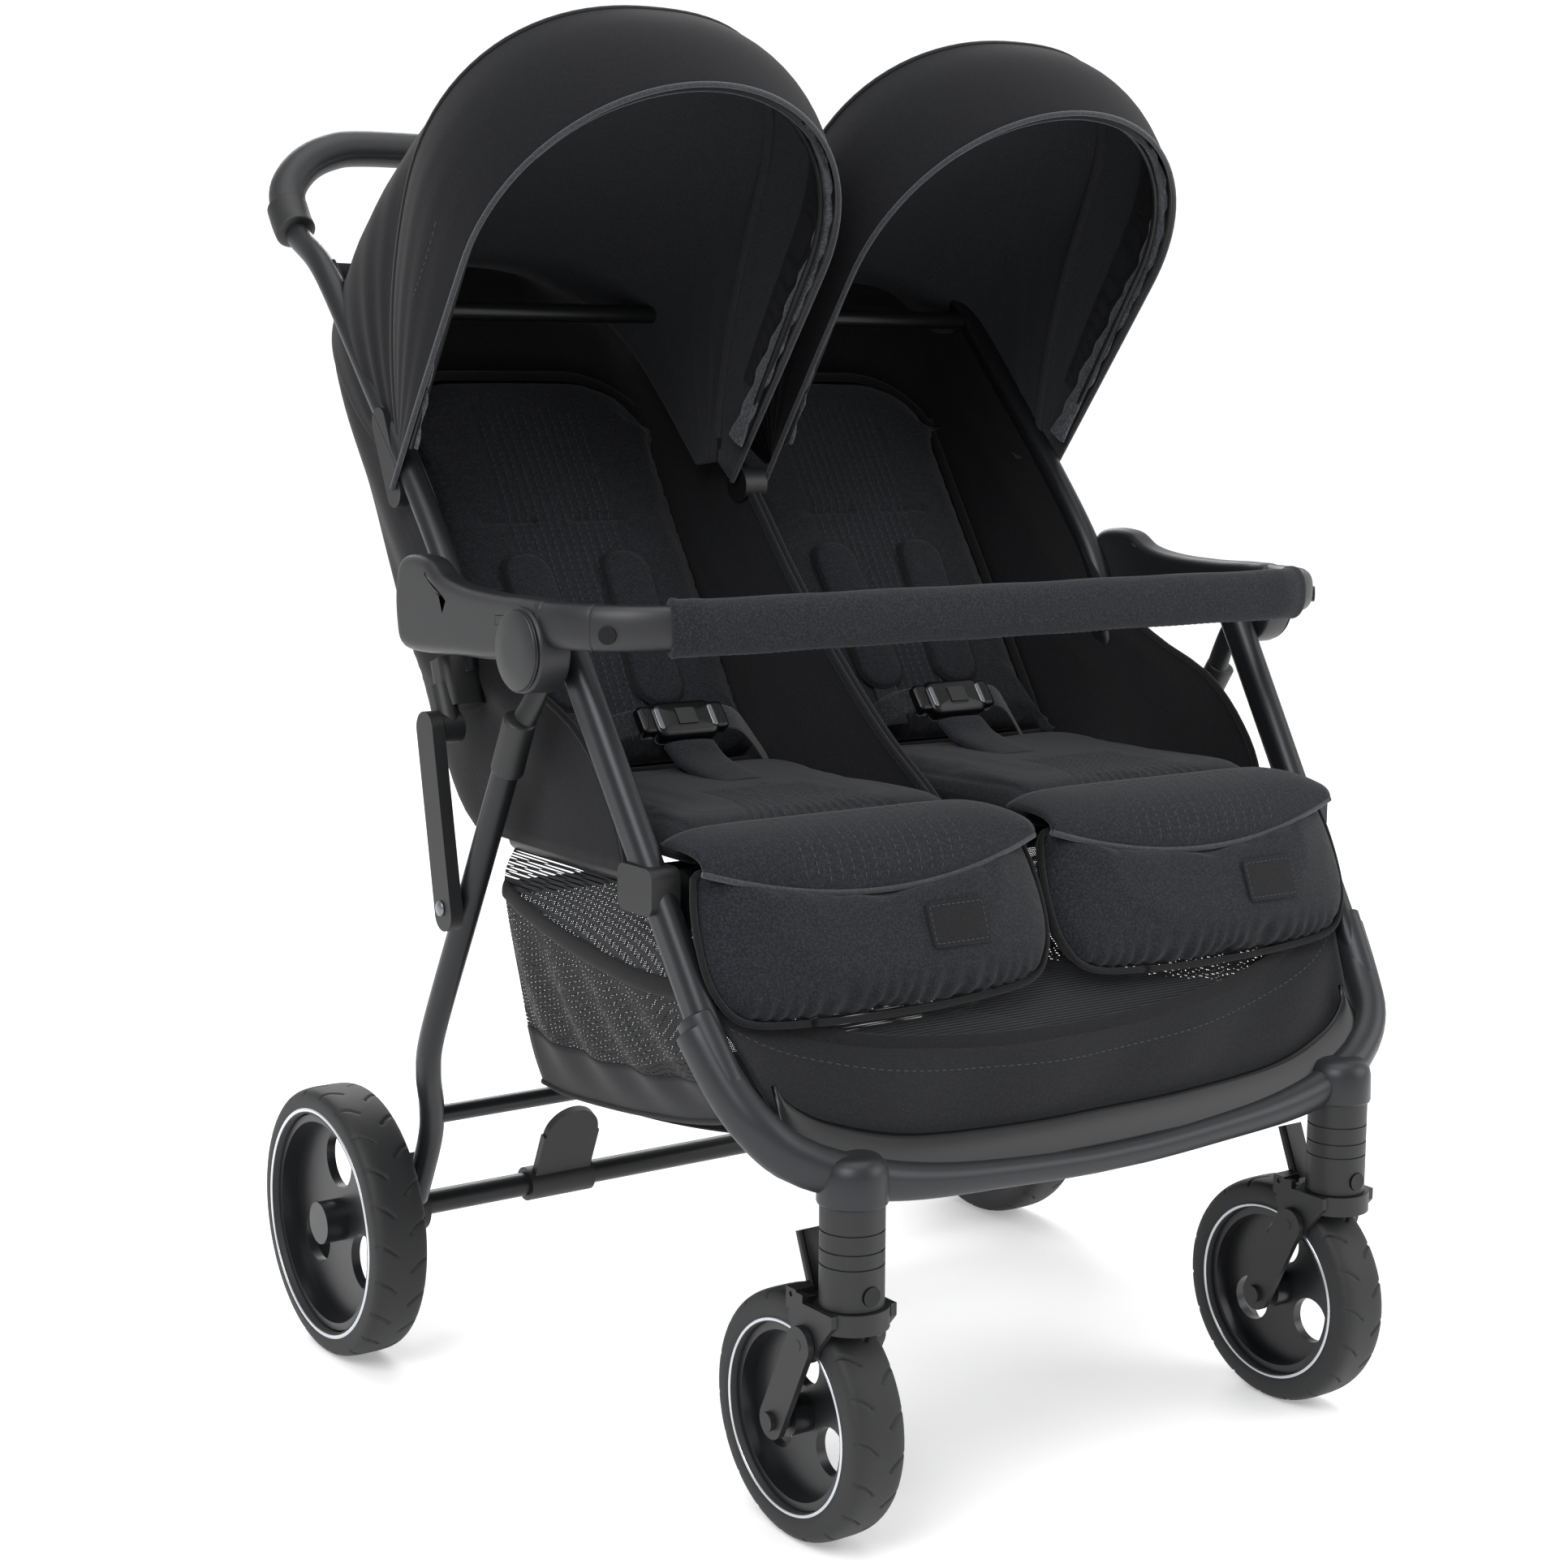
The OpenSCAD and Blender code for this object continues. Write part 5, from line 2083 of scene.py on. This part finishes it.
for side, word, letter in SIDES:
    x = side * 0.140
    path = curve_through(
        [at(x, -0.210, 0.532), at(x, -0.232, 0.520), at(x, -0.275, 0.512), at(x, -0.318, 0.507)], 40
    )
    sleeve = sweep(
        f"crotch_sleeve_{word}", path[:31], 0.024, 0.0052, MELANGE, up=(0, 0, 1), around=40, power=2.6
    )
    web = sweep(
        f"crotch_web_{word}",
        np.vstack([path[26:], path[-1] + [0, -0.012, -0.002], path[-1] + [0, -0.026, -0.009]]),
        0.0128,
        0.0011,
        STRAP,
        up=(0, 0.2, 1),
        around=20,
        power=4,
    )
    ring = rounded_outline(0.036, 0.030, 0.004, 8) + [x, -0.322 + AHEAD]
    adjust = slab(f"strap_adjuster_{word}", ring, 0.506, 0.5115, 0.002, lambda p: p, GLOSS, steps=5)
    bar_low = sweep(
        f"adjuster_bar_{word}",
        np.array(
            [
                [x - 0.015, -0.318 + AHEAD, 0.5125],
                [x, -0.318 + AHEAD, 0.5128],
                [x + 0.015, -0.318 + AHEAD, 0.5125],
            ]
        ),
        0.0028,
        0.0014,
        PLASTIC,
        up=(0, 0, 1),
        around=12,
    )
    lower = joined(f"crotch_hardware_{word}", [adjust, bar_low])
    if side < 0:
        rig.replaces(sleeve, "crotch_pads")
    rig.slot(sleeve, "trim_fabric")
    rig.padded(sleeve, 0.4)
    for o in (sleeve, web, lower):
        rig.ride(o, "front_frame")

# seat cloth rolled over the front tube, down to the calf rest's top seam
for side, word, letter in SIDES:
    u = np.linspace(-1, 1, 60)
    across = side * SEAT_X + 0.149 * u
    start = np.stack([across, np.full(60, SEAT_FRONT + 0.012), SEAT_TOP - 0.001 - 0.010 * np.abs(u) ** 9], -1)
    seam = np.stack([across, -0.489 + AHEAD - 0.012 * (1 - u**2), 0.486 - 0.024 * (1 - u**2)], -1)
    bend = np.stack([across, seam[:, 1] - 0.002, SEAT_TOP + 0.004 - 0.012 * np.abs(u) ** 9], -1)
    t = np.linspace(0, 1, 20)[:, None, None]
    cover = (1 - t) ** 2 * start + 2 * t * (1 - t) * bend + t**2 * seam
    roll = skin(f"seat_front_roll_{word}", cover, MELANGE, "folded", ["seat_frame"], 0.003)
    pipe = sweep(f"seat_front_piping_{word}", seam, 0.0026, 0.0026, PIPING, up=(0, -1, 0), around=14)
    fan = [cover[1:-1, 30 + 2 * k] + [0, -0.012, 0.016] for k in range(-7, 8)]
    fan_sewing = stitches(
        f"seat_front_stitching_{word}", fan, roll, THREAD, (0, 0.6, -0.8), 0.0036, 0.0026, 0.0004
    )
    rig.ride(fan_sewing, "front_frame")
    for o in (roll, pipe):
        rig.ride(o, "front_frame")

# ---- floor, light, camera ----

floor_surface = Surface("pale matte studio floor", "#f4f4f4", 0.75)
floor_surface.shader.inputs["Emission Color"].default_value = (1, 1, 1, 1)
floor_surface.shader.inputs["Emission Strength"].default_value = 0.28
FLOOR = floor_surface.mat
back_y = np.r_[
    np.linspace(-6.0, 5.0, 30), 5.0 + 2.5 * np.sin(np.linspace(0, np.pi / 2, 20))[1:], np.full(10, 7.5)
]
back_z = np.r_[np.zeros(30), 2.5 - 2.5 * np.cos(np.linspace(0, np.pi / 2, 20))[1:], np.linspace(2.6, 9.0, 10)]
turned = math.radians(-34.6)
verts = []
for x in np.linspace(-14, 14, 5):
    for y, z in zip(back_y, back_z):
        verts.append(
            (
                x * math.cos(turned) - y * math.sin(turned),
                x * math.sin(turned) + y * math.cos(turned),
                z,
            )
        )
floor = mesh_object("studio_floor", verts, grid_faces(5, len(back_y)), FLOOR)
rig.stage(floor)

world = bpy.context.scene.world or bpy.data.worlds.new("studio")
bpy.context.scene.world = world
world.use_nodes = True
world.node_tree.nodes["Background"].inputs["Color"].default_value = (1, 1, 1, 1)
world.node_tree.nodes["Background"].inputs["Strength"].default_value = 0.62


def softbox(name, place, aim, width, height, power):
    light = bpy.data.lights.new(name, "AREA")
    light.shape, light.size, light.size_y, light.energy = "RECTANGLE", width, height, power
    made = bpy.data.objects.new(name, light)
    made.location = place
    made.rotation_euler = (Vector(aim) - Vector(place)).to_track_quat("-Z", "Y").to_euler()
    bpy.context.scene.collection.objects.link(made)
    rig.stage(made)


softbox("key_softbox", (-2.6, -1.6, 3.0), (0, 0, 0.5), 2.2, 2.2, 95)
softbox("fill_softbox", (2.6, -2.4, 1.9), (0, 0, 0.5), 2.6, 2.2, 50)
softbox("rim_softbox", (1.2, 3.2, 2.6), (0, 0, 0.7), 2.6, 1.4, 70)
softbox("top_softbox", (0.2, -0.2, 3.6), (0, 0, 0), 2.8, 2.8, 45)

camera = bpy.data.cameras.new("camera")
camera.sensor_width, camera.lens = 36.0, 60.84
view = bpy.data.objects.new("camera", camera)
bpy.context.scene.collection.objects.link(view)
yaw, pitch, roll = math.radians(34.646), math.radians(8.714), math.radians(0.257)
d = Vector((math.sin(yaw) * math.cos(pitch), math.cos(yaw) * math.cos(pitch), -math.sin(pitch)))
r = Vector((math.cos(yaw), -math.sin(yaw), 0))
u = r.cross(d)
right, up = r * math.cos(roll) + u * math.sin(roll), u * math.cos(roll) - r * math.sin(roll)
pose = Matrix((right, up, -d)).transposed().to_4x4()
pose.translation = Vector((-1.2892, -2.0087 + AHEAD, 0.8269))
view.matrix_world = pose
bpy.context.scene.camera = view
bpy.context.scene.view_settings.view_transform = "Standard"


def plain(bounds):
    return [[float(c) for c in corner] for corner in bounds]


with open("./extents.json", "w") as f:
    json.dump({"cad": plain(CAD_BOUNDS), "visual": plain(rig.bounds())}, f)
